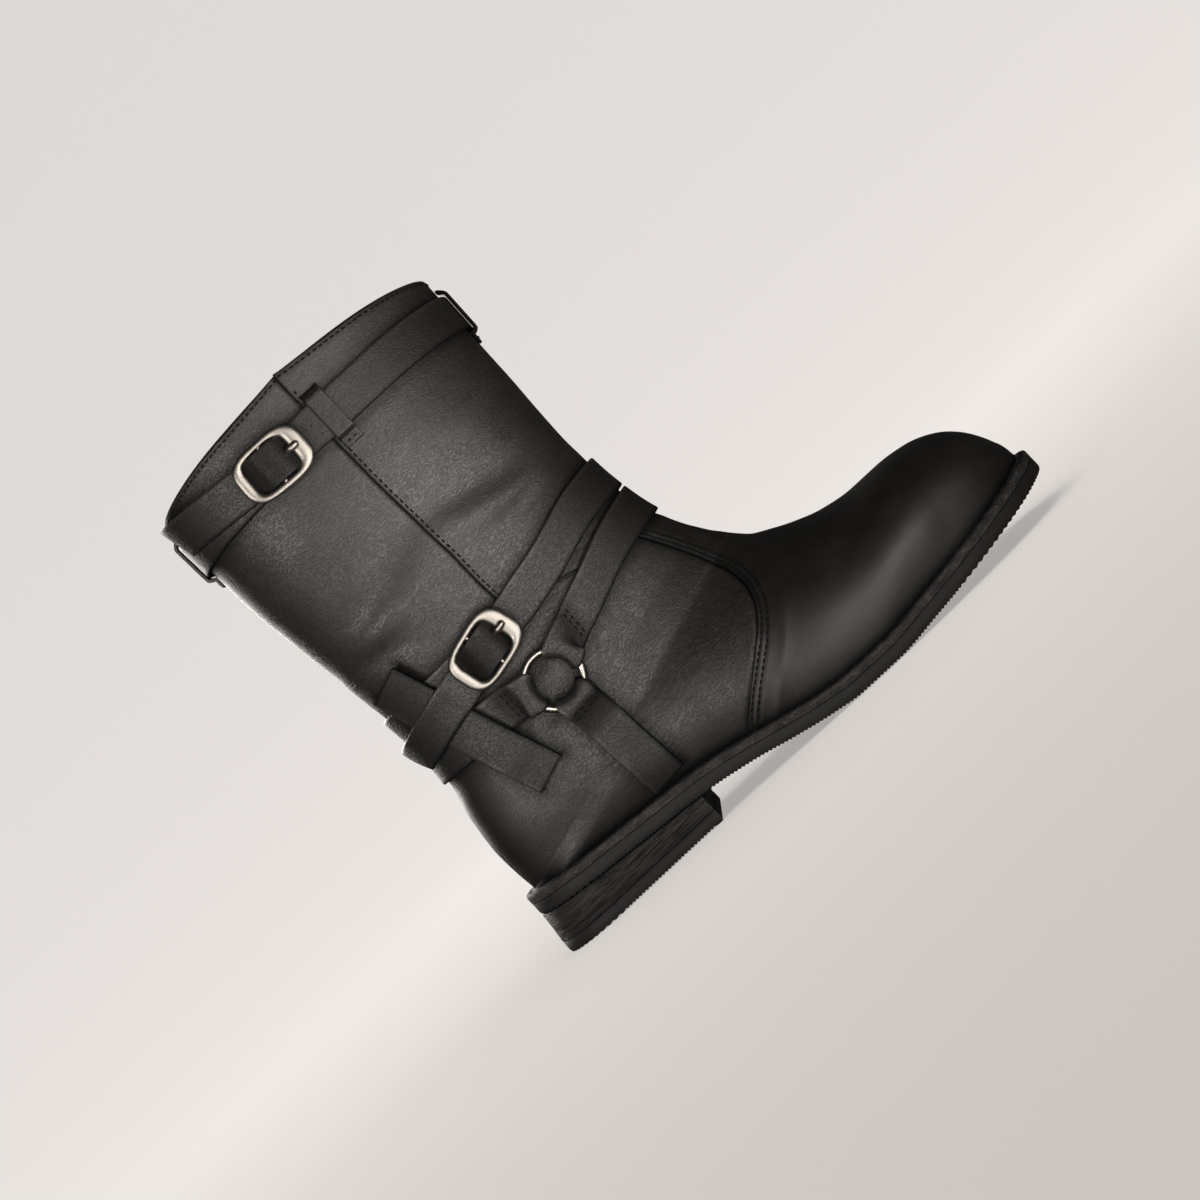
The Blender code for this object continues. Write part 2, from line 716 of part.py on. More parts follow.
def ring_place(side):
    """The centre and outward direction of a harness ring."""
    hit, normal = skin_hit(RING_ALONG, side * math.pi / 2, RING_HEIGHT)
    return hit + normal * (LEAF_HEIGHT + FOLD_RADIUS), normal


def ring_end(track, centre, normal, way):
    """Rows at a strap's end, from the stitched return leaf round the ring's wire to the top leaf. Way is 1 where
    the track runs away from the ring."""
    begin = track.length_at(centre)
    ahead = track.at(begin + way * 2 * RING_RADIUS, 1)[0] - centre
    heading = (ahead - normal * ahead.dot(normal)).normalized()
    sideways = normal.cross(heading)
    edge = track.at(begin + way * RING_RADIUS, 2)[0] - track.at(begin + way * RING_RADIUS, 0)[0]
    if edge.dot(sideways) < 0:
        sideways = -sideways
    wire = begin + way * RING_RADIUS
    rows = track_rows(track, [(wire + way * LEAF_LONG, LEAF_HEIGHT), (wire + way * LEAF_LONG / 2, LEAF_HEIGHT)],
                      FIVE_ACROSS)
    for k in range(FOLD_STEPS + 1):
        turn = math.pi * k / FOLD_STEPS
        row = []
        for share in FIVE_ACROSS:
            spread = math.asin(share * STRAP_WIDTH / 2 / RING_RADIUS)
            out = heading * math.cos(spread) + sideways * math.sin(spread)
            reach = RING_RADIUS - FOLD_RADIUS * math.sin(turn)
            row.append(centre + out * reach - normal * FOLD_RADIUS * math.cos(turn))
        rows.append(row)
    over = LEAF_HEIGHT + STRAP_THICK + GAP
    top = LEAF_HEIGHT + 2 * FOLD_RADIUS
    beside = [centre + heading * (RING_RADIUS + 2.2) + sideways * share * STRAP_WIDTH / 2
              + normal * (FOLD_RADIUS - 0.1) for share in FIVE_ACROSS]
    rows.append(beside)
    rows += track_rows(track, [(wire + way * LEAF_LONG * 0.6, over + 0.5 * (top - over)),
                               (wire + way * (LEAF_LONG + 0.6), over),
                               (wire + way * (LEAF_LONG + LEAF_RAMP), LEAF_HEIGHT)], FIVE_ACROSS)
    return rows, wire + way * (LEAF_LONG + LEAF_RAMP)


def make_ring(name, side, material):
    """A round wire ring on the side of the ankle, held by the folded strap ends."""
    centre, normal = ring_place(side)
    bpy.ops.mesh.primitive_torus_add(
        major_segments=24, minor_segments=6,
        major_radius=RING_RADIUS * METRES, minor_radius=WIRE_RADIUS * METRES,
    )
    ring = bpy.context.object
    ring.rotation_euler = normal.to_track_quat("Z", "Y").to_euler()
    ring.location = (centre - ORIGIN) * METRES
    adopt(ring, name, material)


def adopt(made, name, material):
    """Names a new primitive, gives it its material and puts it with the boot's pieces."""
    made.name = name
    made.data.name = name
    made.data.materials.append(material)
    made.data.shade_smooth()
    for owner in made.users_collection:
        owner.objects.unlink(made)
    boot.objects.link(made)
    made.parent = root


def make_harness(leather, metal):
    """Rings, and the instep, heel and sole straps folded round them."""
    for name, side in (("ring_outer", -1), ("ring_inner", 1)):
        make_ring(name, side, metal)
    instep = girth_track(INSTEP_LINE, -math.radians(112), math.radians(112))
    heel = girth_track(HEEL_LINE, -math.radians(72), -math.radians(288))
    for name, track in (("instep_strap", instep), ("heel_strap", heel)):
        first, leave = ring_end(track, *ring_place(-1), 1)
        last, arrive = ring_end(track, *ring_place(1), -1)
        middle = track_rows(track, run(leave, arrive, LEAF_HEIGHT, HARNESS_PITCH)[1:-1], FIVE_ACROSS)
        make_ribbon(name, first + middle + last[::-1], STRAP_THICK, leather)
    for name, side in (("sole_strap_outer", -1), ("sole_strap_inner", 1)):
        track = drop_track(SOLE_STRAP_TOP, SOLE_STRAP_FOOT, side * math.pi / 2, STRAP_WIDTH)
        last, arrive = ring_end(track, *ring_place(side), -1)
        first = track_rows(track, run(0.0, arrive, LEAF_HEIGHT)[:-1], FIVE_ACROSS)
        make_ribbon(name, first + last[::-1], STRAP_THICK, leather)


def buckle_matrix(track, length, height, tilt):
    """The place of a buckle's bar: X along the strap to the prong's tip, Z out from the leg."""
    point, normal = track.at(length, 1)
    ahead = track.at(length - 8, 1)[0] - track.at(length + 8, 1)[0]
    ahead = (ahead - normal * ahead.dot(normal)).normalized()
    turn = Matrix((ahead, normal.cross(ahead), normal)).transposed().to_4x4()
    place = Matrix.Translation((point + normal * height - ORIGIN) * METRES)
    return place @ turn @ Matrix.Rotation(tilt, 4, "Y")


def round_outline(long, high, power, shift=0.0, count=20):
    """A rounded rectangle as points, squarer with a higher power."""
    points = []
    for k in range(count):
        angle = 2 * math.pi * k / count
        x = math.copysign(abs(math.cos(angle)) ** (2 / power), math.cos(angle))
        y = math.copysign(abs(math.sin(angle)) ** (2 / power), math.sin(angle))
        points.append((shift + x * long / 2, y * high / 2))
    return points


def make_frame(name, matrix, material):
    """A buckle's flat frame with its bar across the middle."""
    curve = bpy.data.curves.new(name + "_outline", "CURVE")
    curve.dimensions = "2D"
    curve.fill_mode = "BOTH"
    curve.extrude = (BUCKLE_THICK / 2 - BUCKLE_EDGE) * METRES
    curve.bevel_depth = BUCKLE_EDGE * METRES
    curve.bevel_resolution = 0
    edge = 2 * BUCKLE_EDGE
    window = (BUCKLE_WINDOW_LONG + edge, BUCKLE_WINDOW_HIGH + edge)
    for outline in (round_outline(BUCKLE_LONG - edge, BUCKLE_HIGH - edge, 3.2),
                    round_outline(*window, 6.0, BUCKLE_WINDOW_SHIFT)):
        spline = curve.splines.new("POLY")
        spline.points.add(len(outline) - 1)
        for point, (x, y) in zip(spline.points, outline):
            point.co = (x * METRES, y * METRES, 0, 1)
        spline.use_cyclic_u = True
    guide = bpy.data.objects.new(name + "_guide", curve)
    bpy.context.scene.collection.objects.link(guide)
    graph = bpy.context.evaluated_depsgraph_get()
    mesh = bpy.data.meshes.new_from_object(guide.evaluated_get(graph))
    bpy.data.objects.remove(guide)
    work = bmesh.new()
    work.from_mesh(mesh)
    bmesh.ops.remove_doubles(work, verts=work.verts, dist=1e-6)
    bmesh.ops.recalc_face_normals(work, faces=work.faces)
    work.to_mesh(mesh)
    work.free()
    frame = bpy.data.objects.new(name, mesh)
    frame.matrix_world = matrix
    adopt(frame, name, material)
    bar = cutter_cylinder(name + "_bar", BUCKLE_BAR_RADIUS, BUCKLE_WINDOW_HIGH + 3)
    bar.matrix_world = matrix @ Matrix.Rotation(math.pi / 2, 4, "X")
    join = frame.modifiers.new("Bar", "BOOLEAN")
    join.operation = "UNION"
    join.object = bar
    return frame


def cutter_cylinder(name, radius, long):
    """A hidden cylinder for a Boolean."""
    bpy.ops.mesh.primitive_cylinder_add(vertices=10, radius=radius * METRES, depth=long * METRES)
    made = bpy.context.object
    made.name = name
    made.hide_render = True
    made.display_type = "WIRE"
    for owner in made.users_collection:
        owner.objects.unlink(made)
    cutters.objects.link(made)
    return made


def make_prong(name, matrix, material):
    """A buckle's prong, through the strap's hole and over the frame's front end."""
    curve = bpy.data.curves.new(name, "CURVE")
    curve.dimensions = "3D"
    curve.bevel_depth = PRONG_RADIUS * METRES
    curve.bevel_resolution = 1
    curve.use_fill_caps = True
    spline = curve.splines.new("POLY")
    spline.points.add(len(PRONG_PATH) - 1)
    for point, step in zip(spline.points, PRONG_PATH):
        point.co = (step.ahead * METRES, 0, step.out * METRES, 1)
    prong = bpy.data.objects.new(name, curve)
    prong.matrix_world = matrix
    curve.materials.append(material)
    boot.objects.link(prong)
    prong.parent = root


def buckled_strap(stem, track, buckle, bar_height, tail_skew, over, leather, metal):
    """A strap round the leg that passes under, over and under its buckle's frame and ends in a free tail.
    Buckle is the length at the bar on the outer lap, and over gives lengths and heights of the tail past it."""
    crown = bar_height + BUCKLE_BAR_RADIUS + BAR_CLEARANCE + STRAP_THICK / 2
    rows = track_rows(track, run(0.0, buckle - HUMP_START, LEAF_HEIGHT))
    for step in BUCKLE_HUMP:
        base = SECOND_HEIGHT if step.ahead > 0 else LEAF_HEIGHT
        height = base + (crown - base) * step.share
        rows.append(track_row(track, buckle + step.ahead, height, squeeze=BUCKLE_SQUEEZE))
    rows += track_rows(track, over[:-1])
    rows.append(track_row(track, *over[-1], tail_skew))
    strap = make_ribbon(stem + "_strap", rows, STRAP_THICK, leather)
    matrix = buckle_matrix(track, buckle, bar_height, BUCKLE_TILT)
    make_frame(stem + "_buckle_frame", matrix, metal)
    make_prong(stem + "_buckle_prong", matrix, metal)
    hole = cutter_cylinder(stem + "_hole", HOLE_RADIUS, HOLE_DEPTH)
    hole.matrix_world = matrix @ Matrix.Translation(Vector((PRONG_HOLE, 0, 0)) * METRES)
    cut = strap.modifiers.new("Hole", "BOOLEAN")
    cut.operation = "DIFFERENCE"
    cut.object = hole


def make_collar(leather, metal):
    """The collar strap with its buckle, the keeper beside it and the belt loops at front and back."""
    turn = 2 * math.pi
    track = girth_track(COLLAR_LINE, -math.radians(118), -math.radians(196) - turn, tail=COLLAR_TAIL_LINE)
    place = skin_hit(COLLAR_BUCKLE_ALONG, -math.pi / 2, COLLAR_HEIGHT)[0]
    buckle = track.length_at(place, after=FIRST_LAP)
    tail = run(buckle + 18, buckle + COLLAR_TAIL, SECOND_HEIGHT)
    buckled_strap("collar", track, buckle, COLLAR_BAR_HEIGHT, COLLAR_TAIL_SKEW, tail, leather, metal)
    leaf = SKIN_LIFT + KEEPER_THICK / 2
    bridge = SKIN_LIFT + STRAP_THICK + GAP + KEEPER_THICK / 2
    for name, along, angle in (("collar_keeper", KEEPER_ALONG, -math.pi / 2),
                               ("collar_loop_front", AXIS_ALONG, 0.0),
                               ("collar_loop_back", AXIS_ALONG, math.pi)):
        middle = track.at(track.length_at(skin_hit(along, angle, COLLAR_HEIGHT)[0]), 1)[0].z
        band = upright_track(along, angle, middle - KEEPER_FOOT, middle + KEEPER_TOP, KEEPER_WIDTH)
        profile = [(step.up, leaf + (bridge - leaf) * step.share) for step in KEEPER_STEPS]
        make_ribbon(name, track_rows(band, profile), KEEPER_THICK, leather)


def make_ankle(leather, metal):
    """The ankle strap with its buckle, and the keeper tab between its two laps at the heel."""
    turn = 2 * math.pi
    track = girth_track(ANKLE_LINE, -math.radians(108), -math.radians(178) - turn, tail=ANKLE_TAIL_LINE)
    place = skin_hit(ANKLE_BUCKLE_ALONG, -math.pi / 2, ANKLE_HEIGHT)[0]
    buckle = track.length_at(place, after=FIRST_LAP)
    tail = [(buckle + 15, SECOND_HEIGHT + 0.2), (buckle + 20, (SECOND_HEIGHT + THIRD_HEIGHT) / 2)]
    tail += run(buckle + 25, buckle + ANKLE_TAIL, THIRD_HEIGHT)
    buckled_strap("ankle", track, buckle, ANKLE_BAR_HEIGHT, ANKLE_TAIL_SKEW, tail, leather, metal)
    band = drop_track(TAB_TOP, TAB_FOOT, -math.pi / 2, TAB_WIDTH)
    profile = [(0.0, LEAF_HEIGHT + 0.4), (8, LEAF_HEIGHT + 0.7), (16, SECOND_HEIGHT)]
    profile += run(24, band.lengths[-1], TAB_HEIGHT)
    make_ribbon("keeper_tab", track_rows(band, profile), STRAP_THICK, leather)


def clear_scene():
    for old in list(bpy.data.objects):
        bpy.data.objects.remove(old, do_unlink=True)


def principled(name, colour, roughness, metallic=0.0):
    material = bpy.data.materials.new(name)
    material.use_nodes = True
    shader = material.node_tree.nodes["Principled BSDF"]
    shader.inputs["Base Color"].default_value = (*colour, 1.0)
    shader.inputs["Roughness"].default_value = roughness
    shader.inputs["Metallic"].default_value = metallic
    material.diffuse_color = (*colour, 1.0)
    return material


clear_scene()
boot = bpy.data.collections.new("harness_boot")
bpy.context.scene.collection.children.link(boot)
cutters = bpy.data.collections.new("cutters")
bpy.context.scene.collection.children.link(cutters)
root = bpy.data.objects.new("boot_root", None)
boot.objects.link(root)
skin = skin_tree()

black_leather = principled("black_leather", (0.020, 0.019, 0.020), 0.42)
strap_leather = principled("strap_leather", (0.016, 0.016, 0.017), 0.38)
welt_rubber = principled("welt_rubber", (0.085, 0.083, 0.082), 0.55)
sole_rubber = principled("sole_rubber", (0.022, 0.022, 0.023), 0.60)
heel_stack = principled("heel_stack", (0.026, 0.026, 0.027), 0.70)
insole_leather = principled("insole_leather", (0.10, 0.085, 0.07), 0.70)
nickel = principled("nickel", (0.72, 0.68, 0.62), 0.30, 1.0)

make_sole(sole_rubber, welt_rubber, heel_stack, insole_leather)
make_upper(black_leather)
make_harness(strap_leather, nickel)
make_collar(strap_leather, nickel)
make_ankle(strap_leather, nickel)
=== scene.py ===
"""Looks of a right mid-calf harness boot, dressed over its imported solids.

Places are in millimetres, measured along from the back of the heel, across to the inner side and up from the
floor. They are turned into metres in the boot's own frame when a mesh is made.
"""

import math
from collections import namedtuple
from functools import lru_cache

import bmesh
import bpy
import numpy as np
from bpy.props import FloatProperty, FloatVectorProperty, PointerProperty
from mathutils import Matrix, Vector
from mathutils.bvhtree import BVHTree
from mathutils.kdtree import KDTree


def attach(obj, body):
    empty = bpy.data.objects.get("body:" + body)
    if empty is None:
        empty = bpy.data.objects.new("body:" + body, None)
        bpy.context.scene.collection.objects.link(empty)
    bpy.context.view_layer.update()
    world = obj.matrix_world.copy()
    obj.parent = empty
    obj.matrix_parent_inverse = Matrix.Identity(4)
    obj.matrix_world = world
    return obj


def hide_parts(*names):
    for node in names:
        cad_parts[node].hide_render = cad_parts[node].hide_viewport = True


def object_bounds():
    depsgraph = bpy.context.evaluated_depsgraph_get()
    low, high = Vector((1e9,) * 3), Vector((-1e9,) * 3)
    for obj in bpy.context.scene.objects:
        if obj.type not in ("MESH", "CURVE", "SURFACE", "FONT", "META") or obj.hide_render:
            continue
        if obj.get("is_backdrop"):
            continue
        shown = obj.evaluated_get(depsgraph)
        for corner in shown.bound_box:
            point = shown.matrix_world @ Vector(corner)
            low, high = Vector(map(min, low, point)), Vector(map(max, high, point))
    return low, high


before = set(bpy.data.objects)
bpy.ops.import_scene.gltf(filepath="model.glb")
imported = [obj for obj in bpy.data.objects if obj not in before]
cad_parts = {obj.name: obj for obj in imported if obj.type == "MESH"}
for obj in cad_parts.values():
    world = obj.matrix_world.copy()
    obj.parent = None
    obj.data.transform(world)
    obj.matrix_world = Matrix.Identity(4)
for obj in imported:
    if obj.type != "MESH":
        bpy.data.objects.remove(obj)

CAD_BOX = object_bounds()

bl_info = {
    "name": "Harness boot",
    "version": (1, 0, 0),
    "blender": (4, 5, 0),
    "location": "View3D > Sidebar > Boot",
    "description": "Dresses the solids of a harness boot in leather, rubber, thread and nickel",
    "category": "Object",
}

METRES = 0.001
ORIGIN = np.array((137.6, -2.2, 0.0))
SIDES = (-1, 1)
GAP = 0.3
FEATHER_GAP = 0.5


def table(kind, rows):
    """Rows of a table under the names of its columns."""
    return [kind(*row) for row in rows]


# Sole sizes
OUTSOLE_THICK = 6.0
WELT_THICK = 3.8
WELT_DEPTH = 11.0
HEEL_BREAST = 86.5
HEEL_LEAN = 1.6
LIFT_THICK = 5.6
INSOLE_THICK = 3.0
INSOLE_INSET = 4.8
HEEL_ROUND = 33.0
TOE_START = 222.0
TOE_END = 282.0
TOE_POWER = 2.15
FEATHER_INSET = 5.4

# Leather and metal sizes
WALL = 2.2
STRAP_WIDTH = 17.2
STRAP_THICK = 1.7
KEEPER_THICK = 1.5
RING_RADIUS = 12.3
WIRE_RADIUS = 1.8
RING_ALONG = 76.0
RING_HEIGHT = 89.8
BUCKLE_LONG = 34.0
BUCKLE_HIGH = 23.4
BUCKLE_THICK = 2.6
BUCKLE_BAR_RADIUS = 1.1
BAR_CLEARANCE = 0.8
BUCKLE_WINDOW_LONG = 21.6
BUCKLE_WINDOW_HIGH = 16.6
BUCKLE_SQUEEZE = 0.955
BUCKLE_WINDOW_SHIFT = -0.9
BUCKLE_TILT = math.radians(3.5)
KEEPER_WIDTH = 8.6
KEEPER_ALONG = 84.8
SKIN_LIFT = 0.8
SHAFT_START = 160.0
LEAF_HEIGHT = SKIN_LIFT + STRAP_THICK / 2
COLLAR_BAR_HEIGHT = SKIN_LIFT + 4.9
ANKLE_BAR_HEIGHT = SKIN_LIFT + 5.8
SECOND_HEIGHT = LEAF_HEIGHT + STRAP_THICK + GAP
TAB_HEIGHT = SECOND_HEIGHT + 0.4
THIRD_HEIGHT = TAB_HEIGHT + STRAP_THICK + GAP + 0.4
LEAF_LONG = 9.0
LEAF_RAMP = 8.0
FOLD_RADIUS = WIRE_RADIUS + 1.5 * GAP + STRAP_THICK / 2

# The sole's outline and its underside, from heel to toe
SoleStation = namedtuple("SoleStation", "along bottom outer inner")
SOLE = table(SoleStation, (
    (0, 20.4, 34.0, 33.5), (34, 17.6, 34.2, 33.6), (62, 15.3, 35.0, 33.0), (88, 13.1, 36.6, 31.6),
    (112, 9.3, 39.4, 32.2), (132, 4.9, 43.4, 36.0), (150, 1.6, 47.6, 41.4), (164, 0.0, 50.4, 45.8),
    (184, 0.0, 52.2, 50.0), (206, 2.2, 51.2, 51.4), (228, 4.8, 48.0, 50.4), (248, 7.6, 45.4, 49.0),
    (268, 10.8, 43.6, 48.0), (282, 13.8, 42.6, 47.6),
))

# The upper's sections, from collar to toe. Each lies in the plane through its front point and its low point.
# A section whose low height is 0 ends on the feather line, where the upper meets the welt.
Section = namedtuple("Section", "front front_z low low_z outer inner widest crown base crest rise step")
SECTIONS = table(Section, (
    (147.8, 246.5, -3.2, 248.0, 47.5, 47.0, 0.54, 2.20, 2.20, 0, 6.8, 0.6),
    (147.0, 220.0, -1.8, 220.0, 46.5, 46.0, 0.54, 2.20, 2.20, 0, 4.0, 0.6),
    (145.8, 190.0, 0.5, 190.0, 44.5, 44.0, 0.54, 2.15, 2.15, 0, 1.0, 0.6),
    (145.0, 160.0, 4.4, 160.0, 41.5, 41.0, 0.54, 2.10, 2.10, 0, 0, 0.6),
    (145.6, 142.0, 7.0, 139.0, 39.0, 38.5, 0.53, 2.05, 2.10, 0, 0, 0.6),
    (147.2, 128.5, 9.6, 122.0, 37.5, 37.0, 0.52, 2.00, 2.10, 0, 0, 0),
    (150.0, 115.0, 11.0, 105.0, 36.5, 36.0, 0.50, 1.95, 2.10, 1, 0, 0),
    (153.0, 106.5, 10.0, 88.0, 36.0, 35.5, 0.48, 1.95, 2.15, 2, 0, 1),
    (156.6, 99.0, 6.0, 71.0, 35.8, 35.2, 0.46, 1.95, 2.20, 3, 0, 1),
    (160.2, 93.0, 3.9, 52.0, 35.6, 35.0, 0.45, 1.95, 2.25, 4, 0, 1.1),
    (163.4, 88.2, 4.4, 40.0, 35.6, 34.8, 0.45, 1.95, 2.25, 4, 0, 1.1),
    (165.6, 85.6, 5.4, 31.0, 35.6, 34.6, 0.45, 1.95, 2.25, 4, 0, 1.1),
    (168.2, 82.4, 12.0, 0, 35.8, 34.4, 0.45, 1.95, 2.25, 5, 0, 1.1),
    (171.8, 78.8, 30.0, 0, 36.2, 34.2, 0.46, 1.95, 2.25, 5, 0, 1.1),
    (176.4, 74.9, 62.0, 0, 37.4, 34.4, 0.48, 1.95, 2.20, 5, 0, 1.1),
    (183.0, 70.9, 98.0, 0, 40.0, 35.4, 0.46, 2.00, 2.20, 5, 0, 1.1),
    (192.0, 66.6, 132.0, 0, 44.0, 39.6, 0.42, 2.05, 2.20, 5, 0, 1.1),
    (204.0, 62.4, 160.0, 0, 47.4, 45.0, 0.38, 2.10, 2.20, 5, 0, 1.1),
    (219.0, 60.0, 190.0, 0, 48.4, 48.2, 0.36, 2.20, 2.20, 5, 0, 1.1),
    (234.0, 59.8, 216.0, 0, 45.6, 48.0, 0.36, 2.30, 2.20, 4, 0, 1.1),
    (248.0, 58.0, 238.0, 0, 39.4, 43.0, 0.36, 2.35, 2.20, 4, 0, 1.1),
    (260.0, 53.0, 254.0, 0, 30.8, 34.0, 0.36, 2.35, 2.20, 3, 0, 1.1),
    (268.6, 44.8, 266.0, 0, 20.6, 22.6, 0.38, 2.30, 2.20, 3, 0, 1.1),
    (273.8, 35.4, 272.8, 0, 12.0, 13.0, 0.40, 2.20, 2.20, 3, 0, 1.1),
    (275.8, 29.4, 275.5, 0, 6.4, 6.8, 0.45, 2.10, 2.20, 2, 0, 1.1),
    (276.6, 0, 276.6, 0, 0, 0, 0.50, 2.00, 2.20, 0, 0, 1.1),
))
LAST_ROW = len(SECTIONS) - 1
HEEL_FOOT_HEIGHT = 31.0
SEAM_END_ROW = 5
VAMP_TOP_ROW = 6.5
# A small turn or part of a row, for directions. Closer than the touch in millimetres, two places are one.
TURN = 0.02
TOUCH = 0.01
# Times that the search for the front leather's edge halves its range, and the angle that counts as none
HALVINGS = 26
NO_ANGLE = 1e-4
TINY = 1e-9

# The rear edge of the vamp on each side, from the welt up to the instep
VampEdge = namedtuple("VampEdge", "height along")
VAMP_EDGE = table(VampEdge, (
    (21, 119.5), (26, 125), (32, 132), (38.5, 139.5), (45, 147.6), (51, 153.4), (57, 157.2), (64, 158.8),
    (70, 158.2), (81, 154.4), (94.5, 147.8), (107, 141), (116, 136),
))


def on_cubics(places, values, slopes, wanted):
    """Values at the places wanted, on cubics through the values given at places with their slopes."""
    i = np.clip(np.searchsorted(places, wanted, side="right") - 1, 0, len(places) - 2)
    spread = (..., *(None,) * (values.ndim - 1))
    span = (places[i + 1] - places[i])[spread]
    t = (wanted - places[i])[spread] / span
    start = values[i] * (1 + 2 * t) + slopes[i] * span * t
    end = values[i + 1] * (3 - 2 * t) + slopes[i + 1] * span * (t - 1)
    return start * (1 - t) ** 2 + end * t**2


def smooth(places, values):
    """A cubic through the points that never overshoots them, held level beyond both ends."""
    places = np.asarray(places, float)
    values = np.asarray(values, float)
    rises = np.diff(values) / np.diff(places)
    rising = rises[:-1] * rises[1:] > 0
    total = np.where(rising, rises[:-1] + rises[1:], 1.0)
    inner = np.where(rising, 2 * rises[:-1] * rises[1:] / total, 0.0)
    slopes = np.concatenate([rises[:1], inner, rises[-1:]])
    return lambda place: on_cubics(places, values, slopes, np.clip(place, places[0], places[-1]))


def run(path):
    """Lengths along a path of points, from its first point."""
    return np.concatenate([[0.0], np.cumsum(np.linalg.norm(np.diff(path, axis=0), axis=-1))])


def full_turn(count):
    """Even angles round a full turn."""
    return np.linspace(0, 2 * math.pi, count, endpoint=False)


def column(rows, place, value):
    """One column of a table as a smooth function of another."""
    return smooth([getattr(row, place) for row in rows], [getattr(row, value) for row in rows])


def ramp(value, low, high):
    """0 up to low, 1 from high, and a soft rise between them."""
    t = np.clip((value - low) / (high - low), 0.0, 1.0)
    return t * t * (3 - 2 * t)


def unit(vectors):
    """Vectors at length 1. One without a length points to the toe."""
    length = np.linalg.norm(vectors, axis=-1, keepdims=True)
    return np.where(length > TINY, vectors / np.maximum(length, TINY), (1.0, 0.0, 0.0))


sole_bottom = column(SOLE, "along", "bottom")
sole_half = {-1: column(SOLE, "along", "outer"), 1: column(SOLE, "along", "inner")}
section_at = {name: smooth(range(len(SECTIONS)), [getattr(row, name) for row in SECTIONS])
              for name in Section._fields}
vamp_edge_at = column(VAMP_EDGE, "height", "along")


def welt_top(along):
    """Height of the welt's top."""
    return sole_bottom(along) + OUTSOLE_THICK + GAP + WELT_THICK


def feather_height(along):
    """Height of the feather line, where the upper meets the welt."""
    return welt_top(along) + FEATHER_GAP


def outline_half(side, along, inset=0.0):
    """Half the width of the sole's outline on one side, moved in by the inset, with round heel and toe."""
    heel = np.clip(1 - (along - inset) / (HEEL_ROUND - inset), 0.0, 1.0)
    toe = np.clip((along - TOE_START) / (TOE_END - inset - TOE_START), 0.0, 1.0)
    return (sole_half[side](along) - inset) * np.sqrt(1 - heel**2) * (1 - toe**TOE_POWER) ** (1 / TOE_POWER)


def skin_points(row, side, angle):
    """Points of the upper's outside: row counts sections from the collar, angle runs from low to front."""
    size = {name: at(row) for name, at in section_at.items()}
    feather = feather_height(size["low"])
    low_z = np.maximum(size["low_z"], feather)
    front_z = np.maximum(size["front_z"], low_z)
    on_welt = low_z <= feather + TOUCH
    foot = np.where(on_welt, outline_half(side, size["low"], FEATHER_INSET), 0.0)
    wide = np.maximum(size["outer"] if side < 0 else size["inner"], foot)
    reach = np.abs(np.cos(angle))
    sine = np.clip(np.sin(angle), 0.0, 1.0)
    base, crown, widest = size["base"], size["crown"], size["widest"]
    low_share = widest * (1 - reach ** (2 / base))
    low_half = (foot**base + (wide**base - foot**base) * sine**2) ** (1 / base)
    high_share = widest + (1 - widest) * reach ** (2 / crown)
    high_half = wide * sine ** (2 / crown)
    below = angle <= math.pi / 2
    share = np.where(below, low_share, high_share)
    half = np.where(below, low_half, high_half)
    along = size["low"] + (size["front"] - size["low"]) * share
    height = low_z + (front_z - low_z) * share + size["rise"] * sine**2
    return np.stack([along, size["crest"] * share**2 + side * half, height], axis=-1)


def skin_normals(row, side, angle):
    """The upper's outward directions, kept level along the collar and the feather line."""
    across = (skin_points(row, side, np.minimum(angle + TURN, math.pi))
              - skin_points(row, side, np.maximum(angle - TURN, 0.0)))
    along = (skin_points(np.minimum(row + TURN, LAST_ROW), side, angle)
             - skin_points(np.maximum(row - TURN, 0.0), side, angle))
    normal = np.cross(across, along) * side
    on_heel = section_at["low_z"](row) > HEEL_FOOT_HEIGHT
    middle = (angle > math.pi - TURN) | ((angle < TURN) & on_heel)
    border = (row < TURN) | ((angle < TURN) & ~on_heel)
    normal[..., 1] = np.where(middle, 0.0, normal[..., 1])
    normal[..., 2] = np.where(border, 0.0, normal[..., 2])
    return unit(normal)


def step_angles(row, side):
    """Where sections cross the edge of the front leather: the side seam of the shaft or the vamp's rear edge.
    In front of the vamp's foot it is 0, so that the whole section is vamp."""
    low = np.zeros_like(row)
    high = np.full_like(row, math.pi)
    for _ in range(HALVINGS):
        middle = (low + high) / 2
        point = skin_points(np.maximum(row, VAMP_TOP_ROW), side, middle)
        ahead = point[..., 0] >= vamp_edge_at(point[..., 2])
        high = np.where(ahead, middle, high)
        low = np.where(ahead, low, middle)
    edge = np.where(high < NO_ANGLE, 0.0, high)
    share = np.clip((row - SEAM_END_ROW) / (VAMP_TOP_ROW - SEAM_END_ROW), 0.0, 1.0)
    return np.where(row < VAMP_TOP_ROW, math.pi / 2 + (edge - math.pi / 2) * share, edge)


def grid_faces(rows, columns, wrap_rows=False, wrap_columns=False):
    """Four-sided faces of a grid of points listed row by row."""
    i, j = np.meshgrid(np.arange(rows if wrap_rows else rows - 1),
                       np.arange(columns if wrap_columns else columns - 1), indexing="ij")
    below, beside = (i + 1) % rows, (j + 1) % columns
    corners = [i * columns + j, i * columns + beside, below * columns + beside, below * columns + j]
    return np.stack(corners, axis=-1).reshape(-1, 4)


def capped(rings, turns):
    """Faces of a bar of rings, shut at both ends."""
    faces = grid_faces(rings, turns, wrap_columns=True).tolist()
    last = (rings - 1) * turns
    return [*faces, list(range(turns))[::-1], list(range(last, last + turns))]


